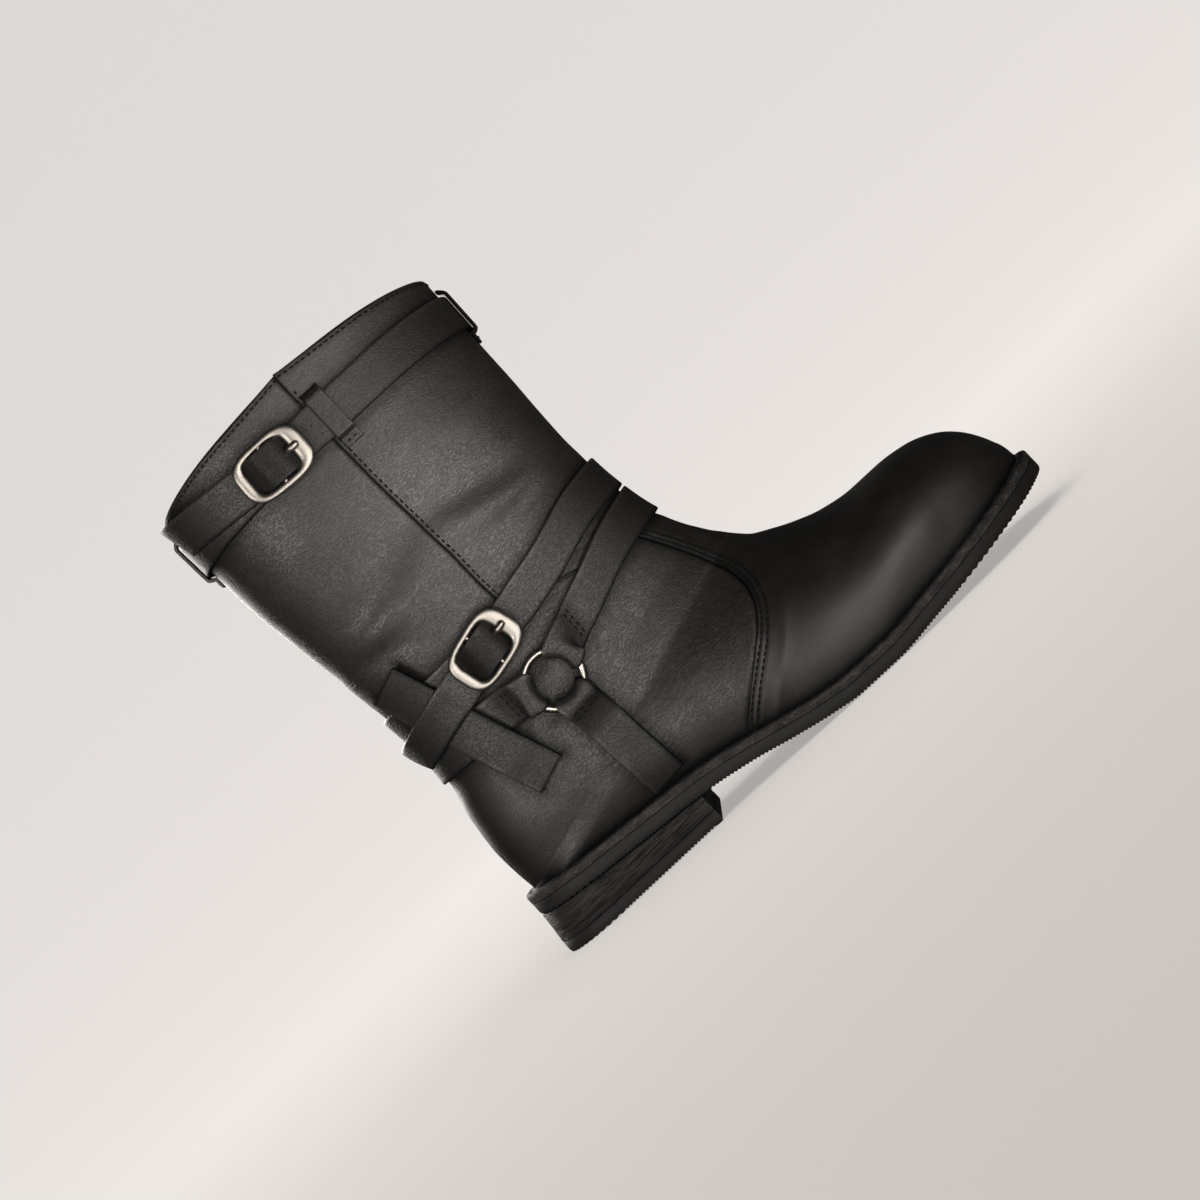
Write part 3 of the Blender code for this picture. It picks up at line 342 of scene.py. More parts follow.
def weld(points, faces, values):
    """Points that coincide become one, and faces that lose their area go."""
    _, first, index = np.unique(np.round(points, 3), axis=0, return_index=True, return_inverse=True)
    index = index.reshape(-1)
    kept = [list(dict.fromkeys(face)) for face in ([index[k] for k in face] for face in faces)]
    return points[first], kept, {name: value[first] for name, value in values.items()}


def add_piece(name, points, faces, finishes, slot, nodes=(), values=None, finish_of_face=None, sharp=50):
    """A shown piece from points in millimetres, which rides on the boot and stands for its CAD nodes.
    Values are numbers on the points that its finish reads."""
    points, faces, values = weld(np.asarray(points, float).reshape(-1, 3), faces, values or {})
    solid = [k for k, face in enumerate(faces) if len(face) > 2]
    mesh = bpy.data.meshes.new(name)
    mesh.from_pydata((points - ORIGIN) * METRES, [], [faces[k] for k in solid])
    for key, value in values.items():
        layer = mesh.attributes.new(key, "FLOAT", "POINT")
        layer.data.foreach_set("value", np.ascontiguousarray(value, dtype=np.float32))
    for finish in finishes:
        mesh.materials.append(finish)
    if finish_of_face is not None:
        chosen = np.asarray(finish_of_face, dtype=np.int32)[solid]
        mesh.polygons.foreach_set("material_index", chosen)
    face_out(mesh)
    mesh.shade_smooth()
    mesh.set_sharp_from_angle(angle=math.radians(sharp))
    piece = bpy.data.objects.new(name, mesh)
    bpy.context.scene.collection.objects.link(piece)
    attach(piece, "root")
    if nodes:
        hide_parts(*nodes)
    return piece


def face_out(mesh):
    """Turns a closed mesh's faces to look outwards."""
    work = bmesh.new()
    work.from_mesh(mesh)
    bmesh.ops.recalc_face_normals(work, faces=work.faces)
    work.to_mesh(mesh)
    work.free()


class Value:
    """A number that varies over a surface. Arithmetic on it adds Math nodes."""

    def __init__(self, finish, socket):
        self.finish = finish
        self.socket = socket

    def _math(self, operation, first, second):
        return self.finish.node("ShaderNodeMath", {"operation": operation}, {0: first, 1: second})

    def __add__(self, other):
        return self._math("ADD", self, other)

    def __radd__(self, other):
        return self._math("ADD", other, self)

    def __sub__(self, other):
        return self._math("SUBTRACT", self, other)

    def __rsub__(self, other):
        return self._math("SUBTRACT", other, self)

    def __mul__(self, other):
        return self._math("MULTIPLY", self, other)

    def __rmul__(self, other):
        return self._math("MULTIPLY", other, self)

    def __abs__(self):
        return self._math("ABSOLUTE", self, 0.0)

    def between(self, low, high):
        """0 up to low, 1 from high, and a soft rise between them."""
        return self.finish.node("ShaderNodeMapRange", {"interpolation_type": "SMOOTHSTEP"},
                                {"Value": self, "From Min": low, "From Max": high})


# Black of the matt shader that is mixed in as painted shade
PAINTED_SHADE_BLACK = (0.002, 0.002, 0.002)


class Finish:
    """A material being made: its nodes, and the Principled shader that they feed."""

    def __init__(self, name, **fixed):
        self.material = bpy.data.materials.new(name + "_finish")
        self.material.use_nodes = True
        self.tree = self.material.node_tree
        self.shader = self.tree.nodes["Principled BSDF"]
        for socket, value in fixed.items():
            self.set(socket.replace("_", " ").title().replace("Ior", "IOR"), value)
        self.place = self.node("ShaderNodeTexCoord", {}, {}, "Object")

    def set(self, socket, value):
        """Gives a socket of the shader its number, colour or link."""
        self._feed(self.shader.inputs[socket], value)

    def node(self, kind, settings, sockets, out=0):
        """A node with its settings made first, then its sockets' values or links."""
        made = self.tree.nodes.new(kind)
        for key, value in settings.items():
            setattr(made, key, value)
        for key, value in sockets.items():
            self._feed(made.inputs[key], value)
        return Value(self, made.outputs[out])

    def _feed(self, socket, value):
        if isinstance(value, Value):
            self.tree.links.new(value.socket, socket)
        elif socket.type == "RGBA":
            socket.default_value = (*value[:3], 1.0)
        else:
            socket.default_value = value

    def stretched(self, scale):
        """The place on the boot, scaled along its three axes."""
        return self.node("ShaderNodeVectorMath", {"operation": "MULTIPLY"}, {0: self.place, 1: scale})

    def noise(self, place, scale, detail=3.0, roughness=0.55, warp=0.0):
        """Soft uneven values about 0.5, finer with a larger scale."""
        return self.node("ShaderNodeTexNoise", {}, {"Vector": place, "Scale": scale, "Detail": detail,
                                                    "Roughness": roughness, "Distortion": warp})

    def creases(self, stretch, scale, warp, wide):
        """A network of fine creases: 0 in a crease, 1 on the leather between them."""
        flow = self.noise(self.stretched(stretch), scale, detail=1.0, roughness=0.4, warp=warp)
        return abs(flow - 0.5).between(0.0, wide)

    def value(self, name):
        """A number kept on the piece's points."""
        return self.node("ShaderNodeAttribute", {"attribute_name": name}, {}, "Fac")

    def blend(self, share, first, second):
        """A colour between two colours."""
        return self.node("ShaderNodeMix", {"data_type": "RGBA"}, {0: share, 6: first, 7: second}, 2)

    def tones(self, share, colour, dark, light):
        """Feeds the shader a base colour between a darker and a lighter shade of one colour."""
        self.set("Base Color", self.blend(share, shade(colour, dark), shade(colour, light)))

    def bump(self, height, deep):
        """Feeds the shader a relief as deep as given, in millimetres."""
        normal = self.node("ShaderNodeBump", {}, {"Height": height, "Distance": deep * METRES}, "Normal")
        self.set("Normal", normal)

    def hollow(self, share):
        """Mixes in a matt black by a share: painted shade for gaps and other places that light hardly
        reaches.
        """
        painted_black = self.node("ShaderNodeBsdfDiffuse", {}, {"Color": PAINTED_SHADE_BLACK})
        lit = Value(self, self.shader.outputs[0])
        mixed = self.node("ShaderNodeMixShader", {}, {0: share, 1: lit, 2: painted_black})
        self._feed(self.tree.nodes["Material Output"].inputs["Surface"], mixed)


def shade(colour, factor):
    """A colour made darker or lighter."""
    return tuple(part * factor for part in colour)


# The stage paper's painted glow: its middle, where it starts and ends fading, in metres, and what is left of
# it there
GLOW_MIDDLE = (0.0, 3.2, 0.5)
GLOW_REACH = (2.0, 4.2)
GLOW_FAR = 0.36


def upper_leather(colours):
    """Glazed black leather: fine creases on shaft and quarter, smoother on vamp, toe and heel, with painted
    shade in its creases and gaps.
    """
    finish = Finish("upper_leather", specular_ior_level=0.5, coat_roughness=0.3)
    grain = finish.value("grain")
    plateaus = finish.creases((1.0, 1.0, 2.6), scale=450, warp=0.3, wide=0.09)
    drift = finish.noise(finish.place, scale=26, detail=1.0)
    patches = finish.noise(finish.stretched((1.0, 1.0, 1.6)), scale=70, detail=2.0)
    finish.bump((plateaus * 0.26 + patches) * grain + drift * 0.5, deep=0.28)
    # Base colour darker in the creases as painted shade, and lighter where the large patches rise
    worn = (patches * 0.8 + plateaus * grain * 0.4).between(0.2, 1.0)
    finish.tones(worn, colours.leather, dark=0.55, light=1.6)
    finish.set("Roughness", 0.42 + drift * 0.14 - plateaus * grain * 0.06)
    finish.set("Coat Weight", 0.12 - grain * 0.08)
    # Painted shade: a matt black mixed in at the leather's gaps, stitches, strap sides and welt foot
    finish.hollow(finish.value("gap"))
    return finish.material


def lining_leather(colours):
    """Matt lining inside the boot."""
    finish = Finish("lining_leather")
    nap = finish.noise(finish.place, scale=900, detail=4.0)
    drift = finish.noise(finish.place, scale=40, detail=2.0)
    finish.tones(drift, colours.lining, dark=0.75, light=1.2)
    finish.set("Roughness", 0.68 + nap * 0.2)
    finish.bump(nap, deep=0.12)
    return finish.material


def strap_leather(colours):
    """Satin black strap leather with fine creases, darker in them as painted shade, and one edge that is a
    little paler, partly burnished and partly a painted highlight.
    """
    finish = Finish("strap_leather", specular_ior_level=0.33, coat_roughness=0.28)
    edge = finish.value("edge")
    drift = finish.noise(finish.place, scale=60, detail=2.0)
    plateaus = finish.creases((1.0, 1.0, 1.8), scale=480, warp=0.4, wide=0.08)
    tone = drift * 0.7 + plateaus * 0.3
    body = finish.blend(tone, shade(colours.strap, 0.5), shade(colours.strap, 1.6))
    # Paler and glossier along one edge: partly burnish, partly a painted highlight
    finish.set("Base Color", finish.blend(edge, body, shade(colours.strap, 2.6)))
    finish.set("Roughness", 0.5 - tone * 0.12 - edge * 0.12)
    finish.set("Coat Weight", edge * 0.2)
    finish.bump(plateaus * 0.4 + drift, deep=0.16)
    # Painted shade mixed in at the strap's darker edge, its cut ends and inside its buckle
    finish.hollow(finish.value("gap"))
    return finish.material


def fine_finish(finish, grain, colour, dark, light, rough, deep):
    """A finish whose colour, roughness and relief all follow one fine grain."""
    finish.tones(grain, colour, dark, light)
    finish.set("Roughness", rough)
    finish.bump(grain, deep)
    return finish.material


def twisted(name, colour):
    """Waxed thread with its twist."""
    finish = Finish(name, specular_ior_level=0.08)
    twist = finish.noise(finish.place, scale=1800, detail=2.0)
    return fine_finish(finish, twist, colour, dark=0.6, light=1.3, rough=0.6 + twist * 0.25, deep=0.12)


def thread(colours):
    """Black thread of the upper and straps."""
    return twisted("thread", colours.thread)


def welt_thread(colours):
    """Grey thread of the welt."""
    return twisted("welt_thread", colours.welt_thread)


def welt_rubber(colours):
    """The welt's worn grey-black edge, mottled along its length."""
    finish = Finish("welt_rubber", specular_ior_level=0.2)
    mottle = finish.noise(finish.stretched((0.6, 0.6, 1.6)), scale=220, detail=5.0, roughness=0.65)
    specks = finish.noise(finish.place, scale=1100).between(0.45, 0.75)
    tone = (mottle * 0.8 + specks * 0.3).between(0.25, 0.9)
    finish.tones(tone, colours.welt, dark=0.3, light=1.9)
    finish.set("Roughness", 0.52 + mottle * 0.2)
    finish.bump(mottle + specks * 0.4, deep=0.25)
    return finish.material


def sole_rubber(colours):
    """Black moulded rubber with faint level rubbing marks."""
    finish = Finish("sole_rubber", specular_ior_level=0.25)
    rubbed = finish.noise(finish.stretched((0.12, 0.12, 1.0)), scale=900)
    mottle = finish.noise(finish.place, scale=160, detail=4.0)
    finish.tones(mottle, colours.sole, dark=0.7, light=1.5)
    finish.set("Roughness", 0.46 + mottle * 0.16 + rubbed * 0.1)
    finish.bump(rubbed * 0.7 + mottle * 0.5, deep=0.14)
    return finish.material


def heel_stack(colours):
    """Stained stacked leather: fine level streaks and the lines between its lifts."""
    finish = Finish("heel_stack", specular_ior_level=0.22)
    grain_place = finish.stretched((0.05, 0.05, 1.0))
    streaks = finish.noise(grain_place, scale=1300, detail=4.0, roughness=0.7, warp=0.1)
    broad = finish.noise(grain_place, scale=420, detail=2.0)
    cuts = streaks.between(0.30, 0.52)
    finish.tones(cuts * 0.75 + broad * 0.3, colours.heel, dark=0.35, light=1.7)
    finish.set("Roughness", 0.68 - cuts * 0.14)
    finish.bump(cuts + broad * 0.4, deep=0.3)
    return finish.material


def insole_leather(colours):
    """Plain matt insole leather."""
    finish = Finish("insole_leather")
    drift = finish.noise(finish.place, scale=90, detail=4.0)
    finish.tones(drift, colours.insole, dark=0.75, light=1.2)
    finish.set("Roughness", 0.66 + drift * 0.2)
    finish.bump(finish.noise(finish.place, scale=1200), deep=0.1)
    return finish.material


def buckle_nickel(colours):
    """Satin nickel with small wear marks."""
    finish = Finish("buckle_nickel", metallic=1.0)
    wear = finish.noise(finish.place, scale=420, detail=4.0, roughness=0.6)
    rough = 0.3 + wear * 0.14
    return fine_finish(finish, wear, colours.nickel, dark=0.86, light=1.08, rough=rough, deep=0.05)


def ring_nickel(colours):
    """Polished nickel wire."""
    finish = Finish("ring_nickel", metallic=1.0)
    wear = finish.noise(finish.place, scale=600)
    rough = 0.2 + wear * 0.14
    return fine_finish(finish, wear, colours.nickel, dark=0.95, light=1.15, rough=rough, deep=0.03)


def stage_paper(colours):
    """Plain pale studio paper that glows by itself as painted light, fading away from the boot."""
    glow = bpy.context.scene.boot_stage.paper_glow
    finish = Finish("stage_paper", roughness=0.9, emission_strength=glow)
    fibre = finish.noise(finish.place, scale=60)
    sockets = {0: finish.place, 1: GLOW_MIDDLE}
    away = finish.node("ShaderNodeVectorMath", {"operation": "DISTANCE"}, sockets, "Value")
    painted_dimming = away.between(*GLOW_REACH)
    finish.tones(fibre, colours.floor, dark=0.985, light=1.0)
    finish.set("Emission Color", finish.blend(painted_dimming, colours.floor, shade(colours.floor, GLOW_FAR)))
    return finish.material


@lru_cache(maxsize=None)
def finish_of(make):
    """The material that a finish's function makes, made once."""
    return make(bpy.context.scene.boot_colours)


# The stage in metres: a round floor that bends up into a wall like a bowl
FLOOR_RADIUS = 1.4
BOWL_RADIUS = 2.6
BOWL_STEPS = 20
BOWL_TURNS = 64
SENSOR = 36.0
LIGHT_COLOUR = (1.0, 0.955, 0.90)
SKY_COLOUR = (1.0, 0.98, 0.96, 1.0)
UP = Vector((0.0, 0.0, 1.0))

# Soft lights: where each stands, what it is aimed at, its width and height, and the setting of its power
Light = namedtuple("Light", "name place target size power")
BOOT_LIGHTS = [
    Light("front_softbox", (0.25, -2.0, 0.2), (0.0, 0.0, 0.08), (1.6, 0.36), "front_power"),
    Light("low_softbox", (0.15, -0.7, 0.004), (0.15, -0.7, 1.0), (1.0, 0.9), "low_power"),
    Light("heel_softbox", (-1.5, -1.5, 0.3), (0.0, 0.0, 0.08), (0.8, 0.5), "heel_power"),
    Light("back_softbox", (-0.9, 1.6, 0.55), (0.0, 0.0, 0.1), (1.2, 0.8), "back_power"),
]
FLOOR_LIGHTS = [Light("floor_softbox", (-0.2, -0.3, 1.6), (0.0, 0.0, 0.0), (2.4, 2.4), "floor_power")]


def build_stage():
    """A pale floor that curves up into a wall all round, soft lights, and the camera."""
    stage = bpy.context.scene.boot_stage
    floor = add_floor()
    add_lights(stage, "all_but_floor", floor, "EXCLUDE", BOOT_LIGHTS)
    add_lights(stage, "floor_only", floor, "INCLUDE", FLOOR_LIGHTS)
    world = bpy.context.scene.world or bpy.data.worlds.new("studio_world")
    bpy.context.scene.world = world
    world.use_nodes = True
    background = world.node_tree.nodes["Background"]
    background.inputs["Color"].default_value = SKY_COLOUR
    background.inputs["Strength"].default_value = stage.world_strength
    bpy.context.scene.view_settings.view_transform = "Standard"
    add_camera(stage)


def add_floor():
    """The floor and wall. Leather and metal don't mirror it, so that the boot's outline stays dark."""
    profile = [(FLOOR_RADIUS / 2, 0.0), (FLOOR_RADIUS, 0.0)]
    for k in range(1, BOWL_STEPS + 1):
        bend = math.pi / 2 * k / BOWL_STEPS
        profile.append((FLOOR_RADIUS + BOWL_RADIUS * math.sin(bend), BOWL_RADIUS * (1 - math.cos(bend))))
    turns = [2 * math.pi * k / BOWL_TURNS for k in range(BOWL_TURNS)]
    points = [(reach * math.cos(turn), reach * math.sin(turn), rise)
              for reach, rise in profile for turn in turns]
    mesh = bpy.data.meshes.new("studio_floor")
    faces = grid_faces(len(profile), BOWL_TURNS, wrap_columns=True).tolist()
    mesh.from_pydata(points, [], [list(range(BOWL_TURNS)), *faces])
    face_out(mesh)
    mesh.shade_smooth()
    mesh.materials.append(finish_of(stage_paper))
    floor = bpy.data.objects.new("studio_floor", mesh)
    bpy.context.scene.collection.objects.link(floor)
    floor.visible_glossy = False
    floor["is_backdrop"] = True
    return floor


def add_lights(stage, name, floor, state, lights):
    """Soft rectangular lights, linked so that they light all but the floor or only the floor."""
    linked = bpy.data.collections.new(name)
    linked.objects.link(floor)
    linked.collection_objects[0].light_linking.link_state = state
    for light in lights:
        lamp = bpy.data.lights.new(light.name, "AREA")
        lamp.shape = "RECTANGLE"
        lamp.size, lamp.size_y = light.size
        lamp.energy = getattr(stage, light.power)
        lamp.color = LIGHT_COLOUR
        made = bpy.data.objects.new(light.name, lamp)
        made.location = light.place
        made.visible_camera = False
        aim = Vector(light.target) - Vector(light.place)
        made.rotation_euler = aim.to_track_quat("-Z", "Y").to_euler()
        made.light_linking.receiver_collection = linked
        bpy.context.scene.collection.objects.link(made)


def add_camera(stage):
    """The camera at the photo's angle, rolled so that the standing boot lies in the picture."""
    camera = bpy.data.objects.new("photo_camera", bpy.data.cameras.new("photo_camera"))
    bpy.context.scene.collection.objects.link(camera)
    azimuth, roll = stage.camera_azimuth, stage.camera_roll
    back = Vector((math.sin(azimuth), -math.cos(azimuth), 0.0))
    level = Vector((math.cos(azimuth), math.sin(azimuth), 0.0))
    right = level * math.cos(roll) - UP * math.sin(roll)
    above = level * math.sin(roll) + UP * math.cos(roll)
    place = Vector(stage.camera_target) + back * stage.camera_distance
    turned = Matrix((right, above, back)).transposed().to_4x4()
    camera.matrix_world = Matrix.Translation(place) @ turned
    camera.data.sensor_width = SENSOR
    camera.data.lens = SENSOR * stage.camera_distance / stage.camera_field
    bpy.context.scene.camera = camera


# Soft folds of the upper: middle of the fold, its run in degrees (up from level, to the toe), length,
# width and depth. A ridge has a negative depth.
Fold = namedtuple("Fold", "side along height run long wide deep")
FOLDS = table(Fold, (
    (-1, 104, 171, -14, 26, 5.5, 0.9), (-1, 100, 160, -12, 30, 6.0, -0.8), (-1, 122, 152, 10, 22, 5.0, 0.7),
    (-1, 50, 168, 14, 24, 6.0, 0.9), (-1, 44, 154, 8, 30, 5.5, -0.8), (-1, 28, 146, -16, 20, 5.0, 0.8),
    (-1, 40, 200, 4, 40, 12.0, -0.6), (-1, 112, 196, -4, 34, 12.0, -0.5), (-1, 96, 92, 28, 20, 5.0, -0.3),
    (-1, 112, 82, 34, 24, 6.5, 0.25), (-1, 126, 64, 60, 22, 9.0, -0.5), (-1, 46, 52, 6, 26, 9.0, -0.5),
    (-1, 168, 66, 62, 26, 6.0, 0.45), (1, 100, 168, -10, 28, 6.0, 0.9), (1, 100, 156, -8, 30, 6.0, -0.8),
    (1, 46, 160, 12, 28, 6.0, 0.9), (1, 60, 192, 3, 40, 12.0, -0.5), (1, 110, 84, 32, 26, 7.0, 0.6),
    (1, 168, 64, 60, 26, 6.0, 0.45),
))
FOLD_SCALE = 1.7
# Rows between which the folds, the shaft's panel, its seam and the vamp come in or fade out
FOLD_ROWS = (0.3, 1.2)
PANEL_ROWS = (4.5, 5.3)
SEAM_ROWS = (4.6, 5.3)
VAMP_ROWS = (6.4, 7.0)

# Rows where the dressed upper's spacing of rows changes
HEEL_ROW = 11
ARCH_ROW = 12
VAMP_FOOT_ROW = 14.4
FOREFOOT_ROW = 16
TOE_ROW = 23
ROW_STEP = 0.125
LINE_POINTS = 2600

# The front leather: how far its stitches lie from its edge, its step, and the share of it that rises at once
SEAM_STITCH = 2.0
VAMP_STITCHES = (1.9, 4.5)
PANEL_STEP = 0.6
EDGE_SHARE = 0.72
EDGE_REACH = 0.7
VAMP_RIDGE = 12.0
VAMP_RIDGE_HIGH = 0.3
VAMP_RIDGE_WIDE = 2.2

# Channels in the leather: depth of the stitched ones, and place, depth and width of the others
VAMP_GROOVE = 0.22
SEAM_GROOVE = 0.2
REAR_GROOVE = (0.4, 0.34, 0.8)
COLLAR_GROOVE = (1.35, 0.2, 0.7)
COLLAR_ROW_LONG = 30

# The collar's peak at the side seam, the dips beside it and the front panel's corner
SEAM_ALONG = 78.0
PEAK_HIGH = 1.5
PEAK_REACH = 9.0
DIP_DEEP = 0.5
DIP_ALONG = 28
DIP_WIDE = 16
CORNER_HIGH = 0.8
CORNER_REACH = 12.0
PEAK_ROWS = (0.0, 0.45)
RIM_STEPS = 6
RIM_ROUND = 0.45
# Both sides' points at the back are made one where they lie closer than this
BACK_SEAM = 0.5

# How strong the creases are on the vamp and at the heel's foot, and where the heel's leather ends
VAMP_GRAIN = 0.32
HEEL_GRAIN = 0.3
HEEL_GRAIN_ALONG = (10, 60)
HEEL_GRAIN_UP = (70, 110)

# Shares of the way from the back to the front leather's edge, and from there to the front
REAR_SHARES = np.concatenate([np.linspace(0, 0.93, 30), np.linspace(0.95, 1, 6)])
FRONT_SHARES = np.concatenate([np.linspace(0, 0.10, 14), np.linspace(0.125, 1, 44)])
EDGE_TURN = 0.004

# How dark painted shade makes the leather in its gaps, beside the straps and at the welt's foot, and how far
# in millimetres that reaches
SEAM_SHADE = 0.95
SEAM_SHADE_REACH = 0.8
STITCH_SHADE = 0.5
STITCH_SHADE_REACH = 0.6
FOOT_SHADE = 0.9
FOOT_SHADE_REACH = 3.4
STRAP_SHADE = 0.6
STRAP_SHADE_REACH = 3.5


def look_rows():
    """Row numbers of the dressed upper, close together at the vamp's foot and at both rounded ends."""
    shaft = np.arange(0, HEEL_ROW, ROW_STEP)
    heel = HEEL_ROW + np.linspace(0, 1, 11)[:-1] ** 2
    arch = np.arange(ARCH_ROW, VAMP_FOOT_ROW, 0.15)
    vamp_foot = np.arange(VAMP_FOOT_ROW, FOREFOOT_ROW, 0.03)
    forefoot = np.arange(FOREFOOT_ROW, TOE_ROW, ROW_STEP)
    toe = LAST_ROW - np.linspace(math.sqrt(LAST_ROW - TOE_ROW), 0, 20) ** 2
    return np.concatenate([shaft, heel, arch, vamp_foot, forefoot, toe])


def edge_line(side, rows):
    """Points along the rear edge of the front leather, from the collar down to the welt."""
    angles = step_angles(rows, side)
    kept = angles > 0
    return skin_points(rows[kept], side, angles[kept]), rows[kept]


def distance_to(line, points):
    """How far points are from a line of points."""
    tree = KDTree(len(line))
    for k, place in enumerate(line):
        tree.insert(place, k)
    tree.balance()
    return np.array([tree.find(point)[2] for point in points.reshape(-1, 3)]).reshape(points.shape[:-1])


def fold_relief(points, side):
    """How far the listed folds move the leather out."""
    relief = np.zeros(points.shape[:-1])
    for fold in FOLDS:
        if fold.side == side:
            along, up = points[..., 0] - fold.along, points[..., 2] - fold.height
            run = math.radians(fold.run)
            ahead = along * math.cos(run) + up * math.sin(run)
            beside = up * math.cos(run) - along * math.sin(run)
            relief -= FOLD_SCALE * fold.deep * np.exp(-(beside / fold.wide) ** 2 - (ahead / fold.long) ** 2)
    return relief


def groove(distance, place, deep, wide=0.55):
    """A shallow channel in the leather, at a distance from an edge."""
    return -deep * np.exp(-((distance - place) / wide) ** 2)


def front_lift(row, distance):
    """How far the front leather stands over the rear leather at a distance from its edge."""
    step = np.maximum(section_at["step"](row), PANEL_STEP * (1 - ramp(row, *PANEL_ROWS)))
    raised = step * (EDGE_SHARE + (1 - EDGE_SHARE) * ramp(distance, 0.0, EDGE_REACH))
    sewn = sum(groove(distance, place, VAMP_GROOVE) for place in VAMP_STITCHES)
    ridge = VAMP_RIDGE_HIGH * np.exp(-((distance - VAMP_RIDGE) / VAMP_RIDGE_WIDE) ** 2)
    seam = groove(distance, SEAM_STITCH, SEAM_GROOVE)
    return raised + ramp(row, *VAMP_ROWS) * (sewn + ridge) + (1 - ramp(row, *SEAM_ROWS)) * seam


def dressed_side(rows, side):
    """One side of the dressed upper: points of its outside and inside, its grain and its painted shade, row
    by row.
    """
    edge = step_angles(rows, side)[:, None]
    rear = edge * REAR_SHARES
    ahead = np.where(edge > 0, edge + EDGE_TURN, 0.0)
    front = ahead + (math.pi - ahead) * FRONT_SHARES
    angle = np.concatenate([rear, front], axis=1)
    row = np.broadcast_to(rows[:, None], angle.shape)
    skin = skin_points(row, side, angle)
    normal = skin_normals(row, side, angle)
    line = edge_line(side, np.linspace(0, LAST_ROW, LINE_POINTS))[0]
    distance = distance_to(line, skin)
    is_front = np.arange(angle.shape[1]) >= len(REAR_SHARES)
    is_front = is_front | (edge == 0)
    lift = np.where(is_front, front_lift(row, distance), groove(distance, *REAR_GROOVE))
    lift = lift + fold_relief(skin, side) * ramp(row, *FOLD_ROWS)
    lift = lift + groove(row * COLLAR_ROW_LONG, *COLLAR_GROOVE)
    outside = skin + normal * lift[..., None]
    outside[..., 2] += collar_peak(skin, row, is_front)
    inside = skin - normal * WALL
    is_vamp = is_front & (row > VAMP_TOP_ROW)
    return outside, inside, grain_amount(skin, is_vamp), painted_shade_amount(skin, distance, edge > 0, is_vamp)


def painted_shade_amount(points, distance, has_edge, is_vamp):
    """Painted shade where little light reaches the leather: dark along the front leather's edge and its
    stitches, and shaded beside the straps and down at the welt."""
    edge = SEAM_SHADE * np.exp(-(distance / SEAM_SHADE_REACH) ** 2) * has_edge
    sewn = sum(groove(distance, place, -STITCH_SHADE, STITCH_SHADE_REACH) for place in VAMP_STITCHES)
    sewn = sewn * is_vamp
    beside = STRAP_SHADE * np.exp(-(distance_to(strap_edges(), points) / STRAP_SHADE_REACH) ** 2)
    rise = np.maximum(points[..., 2] - welt_top(points[..., 0]), 0.0)
    foot = FOOT_SHADE * np.exp(-(rise / FOOT_SHADE_REACH) ** 2)
    return np.max([edge, sewn, beside, foot], axis=0)


def collar_peak(points, row, is_front):
    """Sharpens the collar's rise to the side seam, where the front panel's corner stands a little higher."""
    reach = np.abs(points[..., 0] - SEAM_ALONG)
    peak = PEAK_HIGH * np.exp(-reach / PEAK_REACH) + groove(reach, DIP_ALONG, DIP_DEEP, DIP_WIDE)
    corner = np.where(is_front, CORNER_HIGH * np.exp(-reach / CORNER_REACH), 0.0)
    return (peak + corner) * (1 - ramp(row, *PEAK_ROWS))


def grain_amount(points, is_vamp):
    """How strong the creases are: full on shaft and quarter, faint on vamp, toe and the back of the heel."""
    above_heel = ramp(points[..., 0], *HEEL_GRAIN_ALONG) + ramp(points[..., 2], *HEEL_GRAIN_UP)
    quarter = np.clip(HEEL_GRAIN + (1 - HEEL_GRAIN) * above_heel, 0.0, 1.0)
    return np.where(is_vamp, VAMP_GRAIN, quarter)


def build_upper():
    """The upper: one hollow wall with raised front panel and vamp, soft folds, rounded collar and lining."""
    rows = look_rows()
    outer_side = dressed_side(rows, -1)
    inner_side = dressed_side(rows, 1)
    outside, inside, grain, gap = (np.concatenate([one, two[:, -2::-1]], axis=1)
                                   for one, two in zip(outer_side, inner_side))
    for wall in (outside, inside):
        meets = np.abs(wall[:, 0, 1] - wall[:, -1, 1]) < BACK_SEAM
        wall[meets, 0] = wall[meets, -1] = (wall[meets, 0] + wall[meets, -1]) / 2
    rim = []
    for k in range(1, RIM_STEPS):
        turn = math.pi * k / RIM_STEPS
        level = outside[0] + (inside[0] - outside[0]) * (1 - math.cos(turn)) / 2
        rim.append(level + np.array(UP) * math.sin(turn) * WALL * RIM_ROUND)
    skins = np.concatenate([inside[::-1], rim[::-1], outside])
    plain_rim = np.zeros_like(rim)[..., 0]
    grain, gap = (np.concatenate([kept * 0, plain_rim, kept]).reshape(-1) for kept in (grain, gap))
    high, wide = skins.shape[:2]
    faces = grid_faces(high, wide)
    lined = (faces[:, 0] // wide) < len(rows) - 2
    bottoms = []
    on_welt = np.abs(outside[1:, 0, 1] - outside[1:, -1, 1]) > TOUCH
    on_welt[-1] = True
    for edge in (0, wide - 1):
        outs = (len(rows) + RIM_STEPS - 1 + np.arange(len(rows))) * wide + edge
        ins = (len(rows) - 1 - np.arange(len(rows))) * wide + edge
        bottoms.append(np.stack([outs[:-1], outs[1:], ins[1:], ins[:-1]], axis=-1)[on_welt])
    every = np.concatenate([faces, *bottoms])
    chosen = np.concatenate([lined, np.zeros(sum(map(len, bottoms)), bool)]).astype(int)
    add_piece("upper_leather", skins, every.tolist(), [finish_of(upper_leather), finish_of(lining_leather)],
              "black_leather", ["upper"], {"grain": grain, "gap": gap}, chosen, sharp=65)


LOOP_STEPS = 26
MIDDLE_STATIONS = 210
SHORTEST = 1e-6
